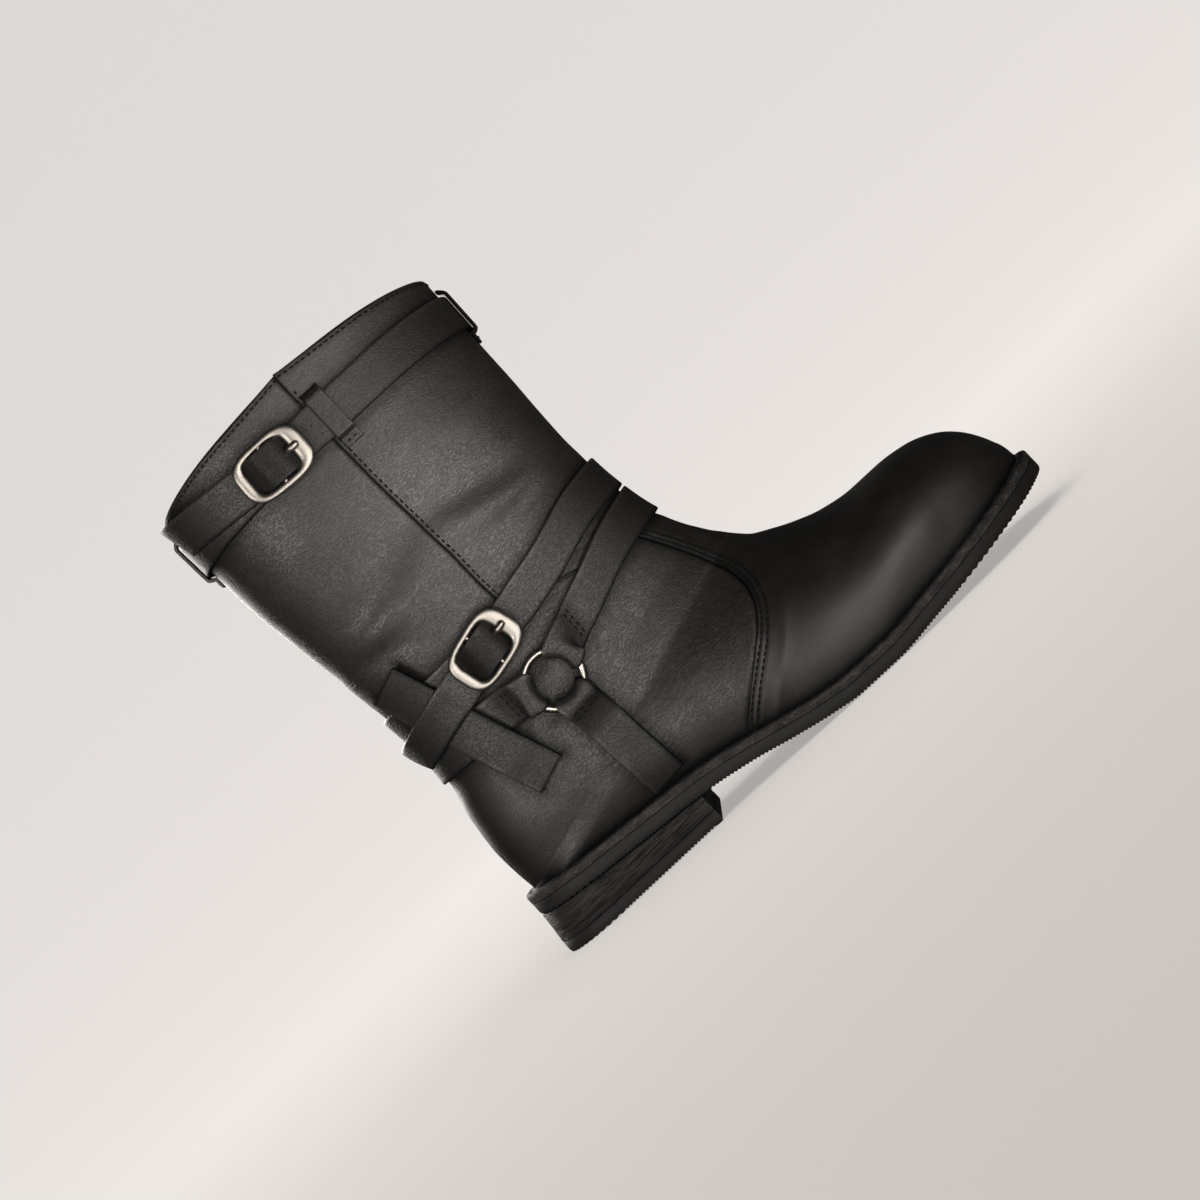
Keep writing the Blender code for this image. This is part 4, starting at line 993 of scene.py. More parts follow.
# The tread's notches: how deep they are cut, how high they end at the edge, and the steps in from the outline
# to the flat underside, to their inner ends and to their outer ends on sole and lift
TREAD_NOTCH = 0.7
TREAD_HIGH = 1.2
TREAD_FLAT = 4.0
TREAD_IN = 3.2
SOLE_TREAD_OUT = 0.5
LIFT_TREAD_OUT = 0.4
# Where the sole's edge turns in to the welt, and how far heel layers and insole are rounded
SOLE_EDGE_HIGH = 3.0
LAYER_ROUND = 0.15
INSOLE_FOOT_ROUND = 0.4
INSOLE_TOP_ROUND = 0.6
# The welt's section from its foot up, over its rounded edge and through the channel of its stitches
WeltStep = namedtuple("WeltStep", "inset rise")
WELT_EDGE = table(WeltStep, (
    (0.05, -WELT_THICK), (0.0, -WELT_THICK + 0.1), (0.0, -1.0), (0.25, -0.35), (0.9, 0.0), (2.6, 0.0),
    (3.1, -0.35), (3.6, 0.0),
))


def outline_stations(inset=0.0, end=None):
    """Places along the sole's outline, close together at its round ends."""
    turn = np.linspace(0, math.pi / 2, LOOP_STEPS, endpoint=False)
    heel = inset + (HEEL_ROUND - inset) * (1 - np.cos(turn))
    middle = np.linspace(HEEL_ROUND, TOE_START, MIDDLE_STATIONS, endpoint=False)
    reach = TOE_END - inset - TOE_START
    toe = TOE_START + reach * np.sin(np.linspace(0, math.pi / 2, 2 * LOOP_STEPS))
    places = np.concatenate([heel, middle, toe])
    return places if end is None else np.append(places[places < end - 0.5], end)


def outline_loop(stations, inset=0.0):
    """The outline as a closed loop: outer side from heel to toe, then the inner side back. Gives the points,
    the directions that lead in, and the station of each point."""
    outer = np.stack([stations, -outline_half(-1, stations, inset)], axis=-1)
    inner = np.stack([stations, outline_half(1, stations, inset)], axis=-1)
    loop = np.concatenate([outer, inner[::-1]])
    ahead = np.roll(loop, -1, axis=0) - np.roll(loop, 1, axis=0)
    inwards = np.stack([-ahead[:, 1], ahead[:, 0]], axis=-1)
    inwards /= np.maximum(np.linalg.norm(inwards, axis=-1, keepdims=True), SHORTEST)
    return loop, inwards, np.concatenate([stations, stations[::-1]])


def edged_plate(stations, profile, inset=0.0, lean=None):
    """A plate under the foot whose edge follows a profile: steps in from the outline, and heights there. It
    is shut above and below by strips across."""
    loop, inwards, along = outline_loop(stations, inset)
    rings = []
    for step, height in profile:
        z = height(along)
        flat = loop + inwards * step
        shift = lean(along, z) if lean else 0.0
        rings.append(np.stack([flat[:, 0] + shift, flat[:, 1], z], axis=-1))
    count, half = len(loop), len(stations)
    faces = grid_faces(len(rings), count, wrap_columns=True).tolist()
    for ring in (0, len(rings) - 1):
        for k in range(half - 1):
            a, b = ring * count + k, ring * count + k + 1
            c, d = ring * count + count - 2 - k, ring * count + count - 1 - k
            faces.append([a, b, c, d])
    return np.concatenate(rings), faces


def floor_level(along):
    """The floor's height."""
    return np.zeros_like(along)


def above(base, rise):
    """Heights along the sole that lie a rise above a base line."""
    return lambda along: base(along) + rise


def notched(base):
    """Heights of a tread: every second place round the edge is cut up from a base line."""
    return lambda along: base(along) + np.where(np.arange(len(along)) % 2 == 0, TREAD_NOTCH, 0.0)


def heel_middle(along):
    """Heights half way up the heel block."""
    return (LIFT_THICK + sole_bottom(along)) / 2


def heel_lean(along, height):
    """How far the heel's back leans behind the sole's edge."""
    share = np.clip((sole_bottom(along) - height) / (sole_bottom(along) - LIFT_THICK), 0.0, 1.0)
    return -HEEL_LEAN * np.clip(1 - along / HEEL_BREAST, 0.0, 1.0) * share


def build_sole():
    """Outsole, heel block, heel lift, insole and welt."""
    outsole = [
        (TREAD_FLAT, above(sole_bottom, TREAD_NOTCH)),
        (TREAD_IN, notched(sole_bottom)),
        (SOLE_TREAD_OUT, notched(sole_bottom)),
        (0.0, above(sole_bottom, TREAD_HIGH)),
        (0.0, above(sole_bottom, SOLE_EDGE_HIGH)),
        (0.02, above(sole_bottom, OUTSOLE_THICK - 0.1)),
        (0.06, above(sole_bottom, OUTSOLE_THICK)),
    ]
    plate = edged_plate(outline_stations(), outsole)
    add_piece("outsole_rubber", *plate, [finish_of(sole_rubber)], "sole_rubber", ["outsole"])

    heel_stations = outline_stations(end=HEEL_BREAST)
    block = [
        (LAYER_ROUND, above(floor_level, LIFT_THICK + GAP)),
        (0.0, above(floor_level, LIFT_THICK + GAP + LAYER_ROUND)),
        (LAYER_ROUND, heel_middle),
        (0.0, above(sole_bottom, -GAP - LAYER_ROUND)),
        (LAYER_ROUND, above(sole_bottom, -GAP)),
    ]
    plate = edged_plate(heel_stations, block, lean=heel_lean)
    add_piece("heel_stack", *plate, [finish_of(heel_stack)], "heel_stack", ["heel_block"])

    lift = [
        (TREAD_FLAT, above(floor_level, TREAD_NOTCH)),
        (TREAD_IN, notched(floor_level)),
        (LIFT_TREAD_OUT, notched(floor_level)),
        (0.0, above(floor_level, TREAD_HIGH)),
        (0.0, above(floor_level, LIFT_THICK - LAYER_ROUND)),
        (LAYER_ROUND, above(floor_level, LIFT_THICK)),
    ]
    plate = edged_plate(heel_stations, lift, lean=heel_lean)
    add_piece("heel_top_piece", *plate, [finish_of(sole_rubber)], "sole_rubber", ["heel_lift"])

    bed = FEATHER_INSET + INSOLE_INSET
    insole = [
        (INSOLE_FOOT_ROUND, above(feather_height, 0.0)),
        (0.0, above(feather_height, INSOLE_FOOT_ROUND)),
        (0.0, above(feather_height, INSOLE_THICK - INSOLE_TOP_ROUND)),
        (INSOLE_TOP_ROUND, above(feather_height, INSOLE_THICK)),
    ]
    plate = edged_plate(outline_stations(bed), insole, bed)
    add_piece("insole_board", *plate, [finish_of(insole_leather)], "insole_leather", ["insole"])
    build_welt()


def build_welt():
    """The welt: a strip all round the foot with a rounded top edge and a channel for its stitches."""
    loop, inwards, along = outline_loop(outline_stations())
    within = outline_loop(outline_stations(WELT_DEPTH), WELT_DEPTH)[0]
    rings = []
    for step in WELT_EDGE:
        flat = loop + inwards * step.inset
        rings.append(np.column_stack([flat, welt_top(along) + step.rise]))
    rings.append(np.column_stack([within, welt_top(along)]))
    rings.append(np.column_stack([within, welt_top(along) - WELT_THICK]))
    faces = grid_faces(len(rings), len(loop), wrap_rows=True, wrap_columns=True).tolist()
    add_piece("welt_strip", np.concatenate(rings), faces, [finish_of(welt_rubber)], "welt_rubber", ["welt"])


# Centre lines of the straps that go round the leg: height at a place along, the same on both sides
# unless a second table gives the tail
StrapLine = namedtuple("StrapLine", "along height")
COLLAR_LINE = table(StrapLine, (
    (-6, 229.2), (20, 230.6), (55, 230.9), (90, 230.0), (120, 230.2), (150, 229.2),
))
COLLAR_TAIL_LINE = table(StrapLine, (
    (-6, 239.8), (8, 237.4), (31, 233.6), (55, 230.9), (90, 230.0), (120, 230.2),
))
ANKLE_LINE = table(StrapLine, (
    (8, 116.9), (40, 117.2), (65, 118.2), (82, 121.4), (106, 126.8), (130, 134.4), (148, 137.4),
))
ANKLE_TAIL_LINE = table(StrapLine, (
    (8, 101.2), (16, 104.4), (27, 108.0), (37, 110.8), (50, 113.8), (65, 118.2), (82, 121.4), (106, 126.8),
    (130, 134.4),
))
INSTEP_LINE = table(StrapLine, (
    (70, 85.6), (76, 89.8), (95, 100.0), (110, 105.8), (131, 114.2), (152, 119.4),
))
HEEL_LINE = table(StrapLine, (
    (8, 97.0), (35, 95.6), (66, 92.6), (76, 89.8), (84, 87.0),
))
SOLE_STRAP_TOP = (76.4, 89.8)
SOLE_STRAP_FOOT = (82.0, 27.6)
TAB_TOP = (23.6, 136.4)
TAB_FOOT = (48.2, 61.8)
TAB_WIDTH = 18.0
AXIS_ALONG = 76.0

# A buckled strap's rise over its bar: places ahead of the bar, and the share of the rise reached there
HumpStep = namedtuple("HumpStep", "ahead share")
BUCKLE_HUMP = table(HumpStep, (
    (-17, 0), (-12, 0), (-9.6, 0.14), (-7.5, 0.58), (-4.5, 0.9), (-2, 0.985), (0, 1), (2.5, 0.96), (6, 0.7),
    (8.5, 0.32), (11, 0.03),
))
HUMP_START = 24.0

# A collar keeper from its foot to its top, and the share of its bridge over the strap reached there
KeeperStep = namedtuple("KeeperStep", "up share")
KEEPER_STEPS = table(KeeperStep, (
    (0, 0), (4.5, 0), (6.2, 1), (15.5, 1), (24.8, 1), (26.6, 0.55), (28.0, -0.05),
))
KEEPER_GAP = 0.05
KEEPER_FOOT = 15.5
KEEPER_TOP = 13.0

# How far straps rise over the front leather's step, between two places along
StepLift = namedtuple("StepLift", "behind ahead lift")
PANEL_LIFT = StepLift(70, 78, 0.6)
VAMP_LIFT = StepLift(76, 104, 1.0)

# The straps with buckles: lines of strap and tail, degrees round from the toe where the strap starts and, a
# turn later, ends, place and height of its buckle, the bar's height over the skin, and its tail's slant
Buckled = namedtuple("Buckled", "line tail first last along height bar skew")
COLLAR_HEIGHT = 230.5
BUCKLED = {
    "collar": Buckled(COLLAR_LINE, COLLAR_TAIL_LINE, 118, 196, 55.0, COLLAR_HEIGHT, COLLAR_BAR_HEIGHT, 3.3),
    "ankle": Buckled(ANKLE_LINE, ANKLE_TAIL_LINE, 108, 178, 65.0, 118.0, ANKLE_BAR_HEIGHT, 6.5),
}
# Tails and the keeper tab: heights over the skin at lengths past the bar, or up from the tab's foot
LayerStep = namedtuple("LayerStep", "past height")
COLLAR_TAIL = table(LayerStep, ((18, SECOND_HEIGHT), (62, SECOND_HEIGHT)))
ANKLE_TAIL = table(LayerStep, (
    (15, SECOND_HEIGHT + 0.2), (20, (SECOND_HEIGHT + THIRD_HEIGHT) / 2), (25, THIRD_HEIGHT),
    (61, THIRD_HEIGHT),
))
TAB_LAYERS = table(LayerStep, (
    (0, LEAF_HEIGHT + 0.4), (8, LEAF_HEIGHT + 0.7), (16, SECOND_HEIGHT), (24, TAB_HEIGHT), (70, TAB_HEIGHT),
))
TAIL_CUT = 9.0
SQUEEZE_END = 7.0
FIRST_LAP = 200.0
WHOLE_TURN = 2 * math.pi
OUTER_SIDE = -math.pi / 2
# Degrees round from the toe where the harness straps start and end
INSTEP_TURNS = (-112, 112)
HEEL_TURNS = (-72, -288)
SOLE_STRAPS = (("sole_strap_outer", -1), ("sole_strap_inner", 1))

# How finely straps are laid: along the strap, along a keeper, between rows that are smoothed later, round a
# fold, round the leg in degrees, up a side and up a keeper
STRAP_PITCH = 1.4
KEEPER_PITCH = 0.7
COARSE_PITCH = 4.0
FOLD_STEPS = 8
GIRTH_STEP = 1.5
DROP_STATIONS = 50
UPRIGHT_STATIONS = 24
SOFTENINGS = 3
HEIGHT_TRIES = 6
LEG_REACH = 40
TAIL_FROM = 50
# A folded end: how far past the wire the top leaf lies flat, how much lower it is there, where it comes down
# beside the return leaf, and how far it goes past that leaf's end
FOLD_PAST = 2.2
FOLD_DROP = 0.1
LEAF_DOWN = 0.6
LEAF_PAST = 0.6

# Points across a strap, and the share of its thickness there: full inside, less at its rounded edges
ACROSS = np.array((-1, -0.972, -0.92, -0.75, -0.4, 0, 0.4, 0.75, 0.92, 0.972, 1))
EDGE_ROUND = np.array((0.55, 0.86, 1, 1, 1, 1, 1, 1, 1, 0.86, 0.55))
END_ROUND = 0.8
# Painted shade on a strap's darker edge and cut ends, where across the strap the edges' painted shade and
# painted highlight start and how sharply they rise, and painted shade on a strap inside its buckle and how
# far it reaches
STRAP_EDGE_SHADE = 0.9
PAINTED_EDGE_START = 0.9
PAINTED_EDGE_POWER = 8
BUCKLE_SHADE = 0.5
BUCKLE_SHADE_REACH = 9.0
BAND_ACROSS = np.array((-1, -0.5, 0, 0.5, 1))


@lru_cache(maxsize=None)
def skin_tree():
    """The upper's outside without its step, as a tree for casting rays from inside it."""
    rows = np.arange(0, LAST_ROW + TOUCH, ROW_STEP)[:, None]
    angles = np.linspace(0, math.pi, 64)[None]
    sides = [skin_points(rows + 0 * angles, side, angles + 0 * rows) for side in SIDES]
    skin = np.concatenate([sides[0], sides[1][:, -2::-1]], axis=1)
    return BVHTree.FromPolygons(skin.reshape(-1, 3).tolist(), grid_faces(*skin.shape[:2]).tolist())


def skin_cast(start, direction):
    """The skin met by a ray, raised over the front leather's step."""
    hit, normal, _, _ = skin_tree().ray_cast(Vector(start), Vector(direction))
    if hit is None:
        raise ValueError(f"no skin from {start}")
    normal = normal if normal.dot(Vector(direction)) > 0 else -normal
    steps = PANEL_LIFT if hit.z > SHAFT_START else VAMP_LIFT
    ahead = min(max((hit.x - steps.behind) / (steps.ahead - steps.behind), 0.0), 1.0)
    return np.array(hit + normal * ahead * steps.lift)


def skin_hit(along, angle, height):
    """The skin met by a level ray from inside the leg."""
    return skin_cast((along, 0, height), (math.cos(angle), math.sin(angle), 0))


class Band:
    """A strap's path on the upper's outside: points across it at each station, softened along it, with
    outward directions and the length along its middle."""

    def __init__(self, stations):
        grid = np.array(stations)
        for _ in range(SOFTENINGS):
            padded = np.pad(grid, ((1, 1), (0, 0), (0, 0)), mode="reflect", reflect_type="odd")
            grid = (padded[:-2] + 2 * padded[1:-1] + padded[2:]) / 4
        self.points = grid
        normals = unit(np.cross(np.gradient(grid, axis=0), np.gradient(grid, axis=1)))
        away = grid - np.array((AXIS_ALONG, 0, 0)) * (1, 1, 0) - grid * (0, 0, 1)
        self.normals = normals * np.sign((normals * away).sum(axis=-1, keepdims=True).mean())
        self.lengths = run(grid[:, 2])

    def at(self, length, share):
        """Points and outward directions at lengths along and shares across, from -1 below to 1 above."""
        i = np.interp(length, self.lengths, np.arange(len(self.lengths)))
        j = (share + 1) / 2 * (len(BAND_ACROSS) - 1)
        i0 = np.clip(i.astype(int), 0, len(self.lengths) - 2)
        j0 = np.clip(j.astype(int), 0, len(BAND_ACROSS) - 2)
        u, v = (i - i0)[..., None], (j - j0)[..., None]

        def mixed(grid):
            low = grid[i0, j0] * (1 - u) + grid[i0 + 1, j0] * u
            high = grid[i0, j0 + 1] * (1 - u) + grid[i0 + 1, j0 + 1] * u
            return low * (1 - v) + high * v

        return mixed(self.points), unit(mixed(self.normals))

    def length_at(self, target, after=0.0):
        """The length of the middle's point nearest to a target, past a length."""
        far = np.linalg.norm(self.points[:, 2] - target, axis=-1)
        return self.lengths[np.argmin(np.where(self.lengths >= after, far, np.inf))]


def girth_band(line, first, last, tail=None):
    """A band round the leg between two angles, at the heights that the strap's line gives. Past a whole turn
    it follows the tail's line."""
    heights = column(line, "along", "height")
    tail_heights = column(tail, "along", "height") if tail else heights
    stations = []
    for angle in np.linspace(first, last, int(abs(last - first) / math.radians(GIRTH_STEP)) + 1):
        along = AXIS_ALONG + LEG_REACH * math.cos(angle)
        over = tail and angle < -math.radians(TAIL_FROM) - WHOLE_TURN
        for _ in range(HEIGHT_TRIES):
            height = float((tail_heights if over else heights)(along))
            along = skin_hit(AXIS_ALONG, angle, height)[0]
        levels = height + BAND_ACROSS * STRAP_WIDTH / 2
        stations.append([skin_hit(AXIS_ALONG, angle, level) for level in levels])
    return Band(stations)


def drop_band(top, foot, angle, width):
    """A band up the side of the boot, from a foot to a top place along and height."""
    top, foot = np.array(top), np.array(foot)
    up = (top - foot) / np.linalg.norm(top - foot)
    reach = np.array((up[1], -up[0])) * width / 2
    stations = []
    for share in np.linspace(0, 1, DROP_STATIONS):
        middle = foot + (top - foot) * share
        places = [middle + reach * side for side in BAND_ACROSS]
        stations.append([skin_hit(along, angle, height) for along, height in places])
    return Band(stations)


def upright_band(along, angle, low, high):
    """A keeper's narrow band straight up the leg at one place round it."""
    ahead = np.array((-math.sin(angle), math.cos(angle), 0)) * KEEPER_WIDTH / 2
    out = (math.cos(angle), math.sin(angle), 0)
    return Band([[skin_cast(np.array((along, 0, height)) + ahead * share, out) for share in BAND_ACROSS]
                 for height in np.linspace(low, high, UPRIGHT_STATIONS)])


def strap_rows(band, lengths, heights, squeeze=None, skew=None):
    """Rows of points across a strap's middle layer, at lengths along its band and heights over the skin."""
    lengths = np.asarray(lengths, float)
    share = np.broadcast_to(ACROSS, (len(lengths), len(ACROSS)))
    narrow = share if squeeze is None else share * squeeze[:, None]
    slant = 0.0 if skew is None else skew[:, None] * share
    points, normals = band.at(lengths[:, None] + slant, narrow)
    return points + normals * np.broadcast_to(heights, lengths.shape)[:, None, None]


def refined(rows, pitch=STRAP_PITCH):
    """Rows at an even pitch on smooth curves through the rows given."""
    rows = np.asarray(rows)
    places = run(rows[:, rows.shape[1] // 2])
    slopes = np.gradient(rows, places, axis=0)
    return on_cubics(places, rows, slopes, even(0.0, places[-1], pitch))


def even(first, last, pitch=STRAP_PITCH):
    """Lengths from first to last at about a pitch."""
    return np.linspace(first, last, max(2, round(abs(last - first) / pitch)) + 1)


def add_strap(name, rows, thick, node, dark=-1, painted_dimming=0.0):
    """A strap from rows of points across its middle layer: even thickness, rounded edges and cut ends. One
    edge is paler, partly rubbed and partly a painted highlight; the other, on the side that dark gives, and
    both cut ends get painted shade. The dimming adds painted shade to each row."""
    normals = unit(np.cross(np.gradient(rows, axis=0), np.gradient(rows, axis=1)))
    ends = np.ones(len(rows))
    ends[[0, -1]] = END_ROUND
    raise_by = normals * (thick / 2 * EDGE_ROUND)[None, :, None] * ends[:, None, None]
    loops = np.concatenate([rows + raise_by, (rows - raise_by)[:, ::-1]], axis=1)
    count, wide = loops.shape[:2]
    faces = grid_faces(count, wide, wrap_columns=True).tolist()
    for first in (0, (count - 1) * wide):
        for k in range(len(ACROSS) - 1):
            faces.append([first + k, first + k + 1, first + wide - 2 - k, first + wide - 1 - k])
    sides = []
    for side in (-dark, dark):
        amount = np.where(ACROSS * side > PAINTED_EDGE_START, np.abs(ACROSS) ** PAINTED_EDGE_POWER, 0.0)
        sides.append(np.tile(np.concatenate([amount, amount[::-1]]), (count, 1)))
    edge, gap = sides
    gap[[0, -1]] = 1.0
    gap = np.maximum(gap * STRAP_EDGE_SHADE, np.broadcast_to(painted_dimming, count)[:, None])
    return add_piece(name, loops, faces, [finish_of(strap_leather)], "strap_leather", [node],
                     {"edge": edge.reshape(-1), "gap": gap.reshape(-1)}, sharp=40)


def ring_place(side):
    """The centre and outward direction of a harness ring."""
    facing = side * math.pi / 2
    around = [skin_hit(RING_ALONG + ahead, facing, RING_HEIGHT + up)
              for ahead, up in ((-6, 0), (6, 0), (0, -6), (0, 6))]
    normal = unit(np.cross(around[1] - around[0], around[3] - around[2]))
    normal = normal * np.sign(normal[1] * side)
    middle = skin_hit(RING_ALONG, facing, RING_HEIGHT)
    return middle + normal * (LEAF_HEIGHT + FOLD_RADIUS), normal


def ring_end(band, side, way):
    """Rows at a strap's end, from the stitched return leaf round the ring's wire to the top leaf. Way is 1
    where the band runs away from the ring."""
    centre, normal = ring_place(side)
    wire = band.length_at(centre) + way * RING_RADIUS

    def on_band(length, share):
        return band.at(np.array(length, float), np.array(share, float))[0]

    ahead = on_band(wire + way * RING_RADIUS, 0) - centre
    heading = unit(ahead - normal * ahead.dot(normal))
    sideways = np.cross(normal, heading)
    if (on_band(wire, 1) - on_band(wire, -1)).dot(sideways) < 0:
        sideways = -sideways
    back = [wire + way * LEAF_LONG, wire + way * LEAF_LONG / 2]
    rows = list(strap_rows(band, back, LEAF_HEIGHT))
    spread = np.arcsin(ACROSS * STRAP_WIDTH / 2 / RING_RADIUS)[:, None]
    out = heading * np.cos(spread) + sideways * np.sin(spread)
    for turn in np.linspace(0, math.pi, FOLD_STEPS + 1):
        reach = RING_RADIUS - FOLD_RADIUS * math.sin(turn)
        rows.append(centre + out * reach - normal * FOLD_RADIUS * math.cos(turn))
    flat = centre + sideways * (ACROSS * STRAP_WIDTH / 2)[:, None]
    rows.append(flat + heading * (RING_RADIUS + FOLD_PAST) + normal * (FOLD_RADIUS - FOLD_DROP))
    over = LEAF_HEIGHT + STRAP_THICK + GAP
    top = LEAF_HEIGHT + 2 * FOLD_RADIUS
    leave = wire + way * (LEAF_LONG + LEAF_RAMP)
    steps = [wire + way * LEAF_LONG * LEAF_DOWN, wire + way * (LEAF_LONG + LEAF_PAST), leave]
    rows += list(strap_rows(band, steps, np.array(((over + top) / 2, over, LEAF_HEIGHT))))
    return rows, leave


@lru_cache(maxsize=None)
def harness_bands():
    """The bands of the straps on the rings, by node."""
    bands = {
        "instep_strap": girth_band(INSTEP_LINE, *map(math.radians, INSTEP_TURNS)),
        "heel_strap": girth_band(HEEL_LINE, *map(math.radians, HEEL_TURNS)),
    }
    for node, side in SOLE_STRAPS:
        bands[node] = drop_band(SOLE_STRAP_TOP, SOLE_STRAP_FOOT, side * math.pi / 2, STRAP_WIDTH)
    return bands


def build_harness():
    """The instep, heel and sole straps, folded round the rings."""
    bands = harness_bands()
    for node in ("instep_strap", "heel_strap"):
        band = bands[node]
        first, leave = ring_end(band, -1, 1)
        last, arrive = ring_end(band, 1, -1)
        middle = strap_rows(band, even(leave, arrive, COARSE_PITCH)[1:-1], LEAF_HEIGHT)
        add_strap(node + "_leather", refined([*first, *middle, *last[::-1]]), STRAP_THICK, node)
    for node, side in SOLE_STRAPS:
        band = bands[node]
        last, arrive = ring_end(band, side, -1)
        first = strap_rows(band, even(0.0, arrive, COARSE_PITCH)[:-1], LEAF_HEIGHT)
        add_strap(node + "_leather", refined([*first, *last[::-1]]), STRAP_THICK, node, dark=1)


@lru_cache(maxsize=None)
def buckled_band(stem):
    """The band of the collar or ankle strap, and the length at its buckle's bar."""
    strap = BUCKLED[stem]
    last = -math.radians(strap.last) - WHOLE_TURN
    band = girth_band(strap.line, -math.radians(strap.first), last, strap.tail)
    place = skin_hit(strap.along, OUTER_SIDE, strap.height)
    return band, band.length_at(place, FIRST_LAP)


def buckled_strap(stem, tail):
    """A strap round the leg that passes under, over and under its buckle's frame and ends in a free tail."""
    strap = BUCKLED[stem]
    band, buckle = buckled_band(stem)
    crown = strap.bar + BUCKLE_BAR_RADIUS + BAR_CLEARANCE + STRAP_THICK / 2
    steps = [(0.0, LEAF_HEIGHT), (buckle - HUMP_START, LEAF_HEIGHT)]
    for step in BUCKLE_HUMP:
        base = SECOND_HEIGHT if step.ahead > 0 else LEAF_HEIGHT
        steps.append((buckle + step.ahead, base + (crown - base) * step.share))
    steps += [(buckle + step.past, step.height) for step in tail]
    places, values = zip(*steps)
    lengths = even(0.0, places[-1])
    first, last = BUCKLE_HUMP[0].ahead, BUCKLE_HUMP[-1].ahead
    squeeze = smooth([buckle - HUMP_START, buckle + first, buckle + last, buckle + last + SQUEEZE_END],
                     [1, BUCKLE_SQUEEZE, BUCKLE_SQUEEZE, 1])(lengths)
    skew = strap.skew * np.clip((lengths - places[-1] + TAIL_CUT) / TAIL_CUT, 0.0, 1.0)
    rows = strap_rows(band, lengths, smooth(places, values)(lengths), squeeze, skew)
    # Painted shade on the strap where it passes through its buckle's frame
    painted_dimming = BUCKLE_SHADE * np.exp(-((lengths - buckle) / BUCKLE_SHADE_REACH) ** 4)
    add_strap(stem + "_strap_leather", rows, STRAP_THICK, stem + "_strap", painted_dimming=painted_dimming)


def keeper_places():
    """The band of each collar keeper, by node."""
    band = buckled_band("collar")[0]
    for node, along, angle in (("collar_keeper", KEEPER_ALONG, OUTER_SIDE),
                               ("collar_loop_front", AXIS_ALONG, 0.0),
                               ("collar_loop_back", AXIS_ALONG, math.pi)):
        target = skin_hit(along, angle, COLLAR_HEIGHT)
        middle = band.at(np.array(band.length_at(target)), np.array(0.0))[0][2]
        yield node, upright_band(along, angle, middle - KEEPER_FOOT, middle + KEEPER_TOP)


def build_collar():
    """The collar strap, the keeper beside its buckle and the belt loops at front and back."""
    buckled_strap("collar", COLLAR_TAIL)
    leaf = KEEPER_THICK / 2 + KEEPER_GAP
    bridge = SKIN_LIFT + STRAP_THICK + GAP + KEEPER_THICK / 2
    heights = smooth([step.up for step in KEEPER_STEPS],
                     [leaf + (bridge - leaf) * step.share for step in KEEPER_STEPS])
    for node, path in keeper_places():
        lengths = even(0.0, KEEPER_STEPS[-1].up, KEEPER_PITCH)
        add_strap(node + "_leather", strap_rows(path, lengths, heights(lengths)), KEEPER_THICK, node)


@lru_cache(maxsize=None)
def tab_band():
    """The keeper tab's band."""
    return drop_band(TAB_TOP, TAB_FOOT, OUTER_SIDE, TAB_WIDTH)


def strap_edges():
    """Points along both edges of every strap."""
    bands = [*harness_bands().values(), *(buckled_band(stem)[0] for stem in BUCKLED), tab_band()]
    return np.concatenate([band.points[:, side] for band in bands for side in (0, -1)])


def build_ankle():
    """The ankle strap, and the keeper tab between its two laps at the heel."""
    buckled_strap("ankle", ANKLE_TAIL)
    path = tab_band()
    lengths = even(0.0, path.lengths[-1])
    rows = strap_rows(path, lengths, column(TAB_LAYERS, "past", "height")(lengths))
    add_strap("keeper_tab_leather", rows, STRAP_THICK, "keeper_tab", dark=1)


# A prong's middle line, from the buckle's bar to its tip over the frame
ProngStep = namedtuple("ProngStep", "ahead out wide")
PRONG_PATH = table(ProngStep, (
    (1.8, -0.4, 1.0), (4.6, -0.2, 1.1), (7.4, 0.2, 1.3), (9.0, 1.5, 1.5), (10.6, 2.6, 1.65),
    (12.2, 2.8, 1.65), (13.6, 2.7, 1.4), (14.2, 2.6, 0.8),
))
PRONG_STEPS = 24
FRAME_TURNS = 72
BAR_TURNS = 14
RING_TURNS = 72
WIRE_TURNS = 16
TUBE_TURNS = 12
# How square the frame and its window are, how much taller they are in front, how far the bar goes into the
# frame, and how far along the strap its direction is taken
FRAME_POWER = 3.2
FRAME_FLARE = 0.03
WINDOW_POWER = 5.0
WINDOW_FLARE = 0.02
BAR_IN_FRAME = 1.2
BUCKLE_REACH = 8


def buckle_frame(band, length, height):
    """The place of a buckle's bar and its directions: along the strap to the prong's tip, up and out."""
    places = np.array((length - BUCKLE_REACH, length, length + BUCKLE_REACH))
    points, normals = band.at(places, np.zeros(3))
    out = normals[1]
    ahead = points[0] - points[2]
    ahead = unit(ahead - out * ahead.dot(out))
    up = np.cross(out, ahead)
    ahead, out = (ahead * math.cos(BUCKLE_TILT) - out * math.sin(BUCKLE_TILT),
                  out * math.cos(BUCKLE_TILT) + ahead * math.sin(BUCKLE_TILT))
    return points[1] + normals[1] * height, np.stack([ahead, up, out])


def round_outline(long, high, power, shift=0.0, flare=0.0):
    """A rounded rectangle round a buckle, squarer with a higher power, taller at its front with a flare."""
    turn = full_turn(FRAME_TURNS)
    x = np.sign(np.cos(turn)) * np.abs(np.cos(turn)) ** (2 / power)
    y = np.sign(np.sin(turn)) * np.abs(np.sin(turn)) ** (2 / power)
    return np.stack([shift + x * long / 2, y * high / 2 * (1 + flare * x)], axis=-1)


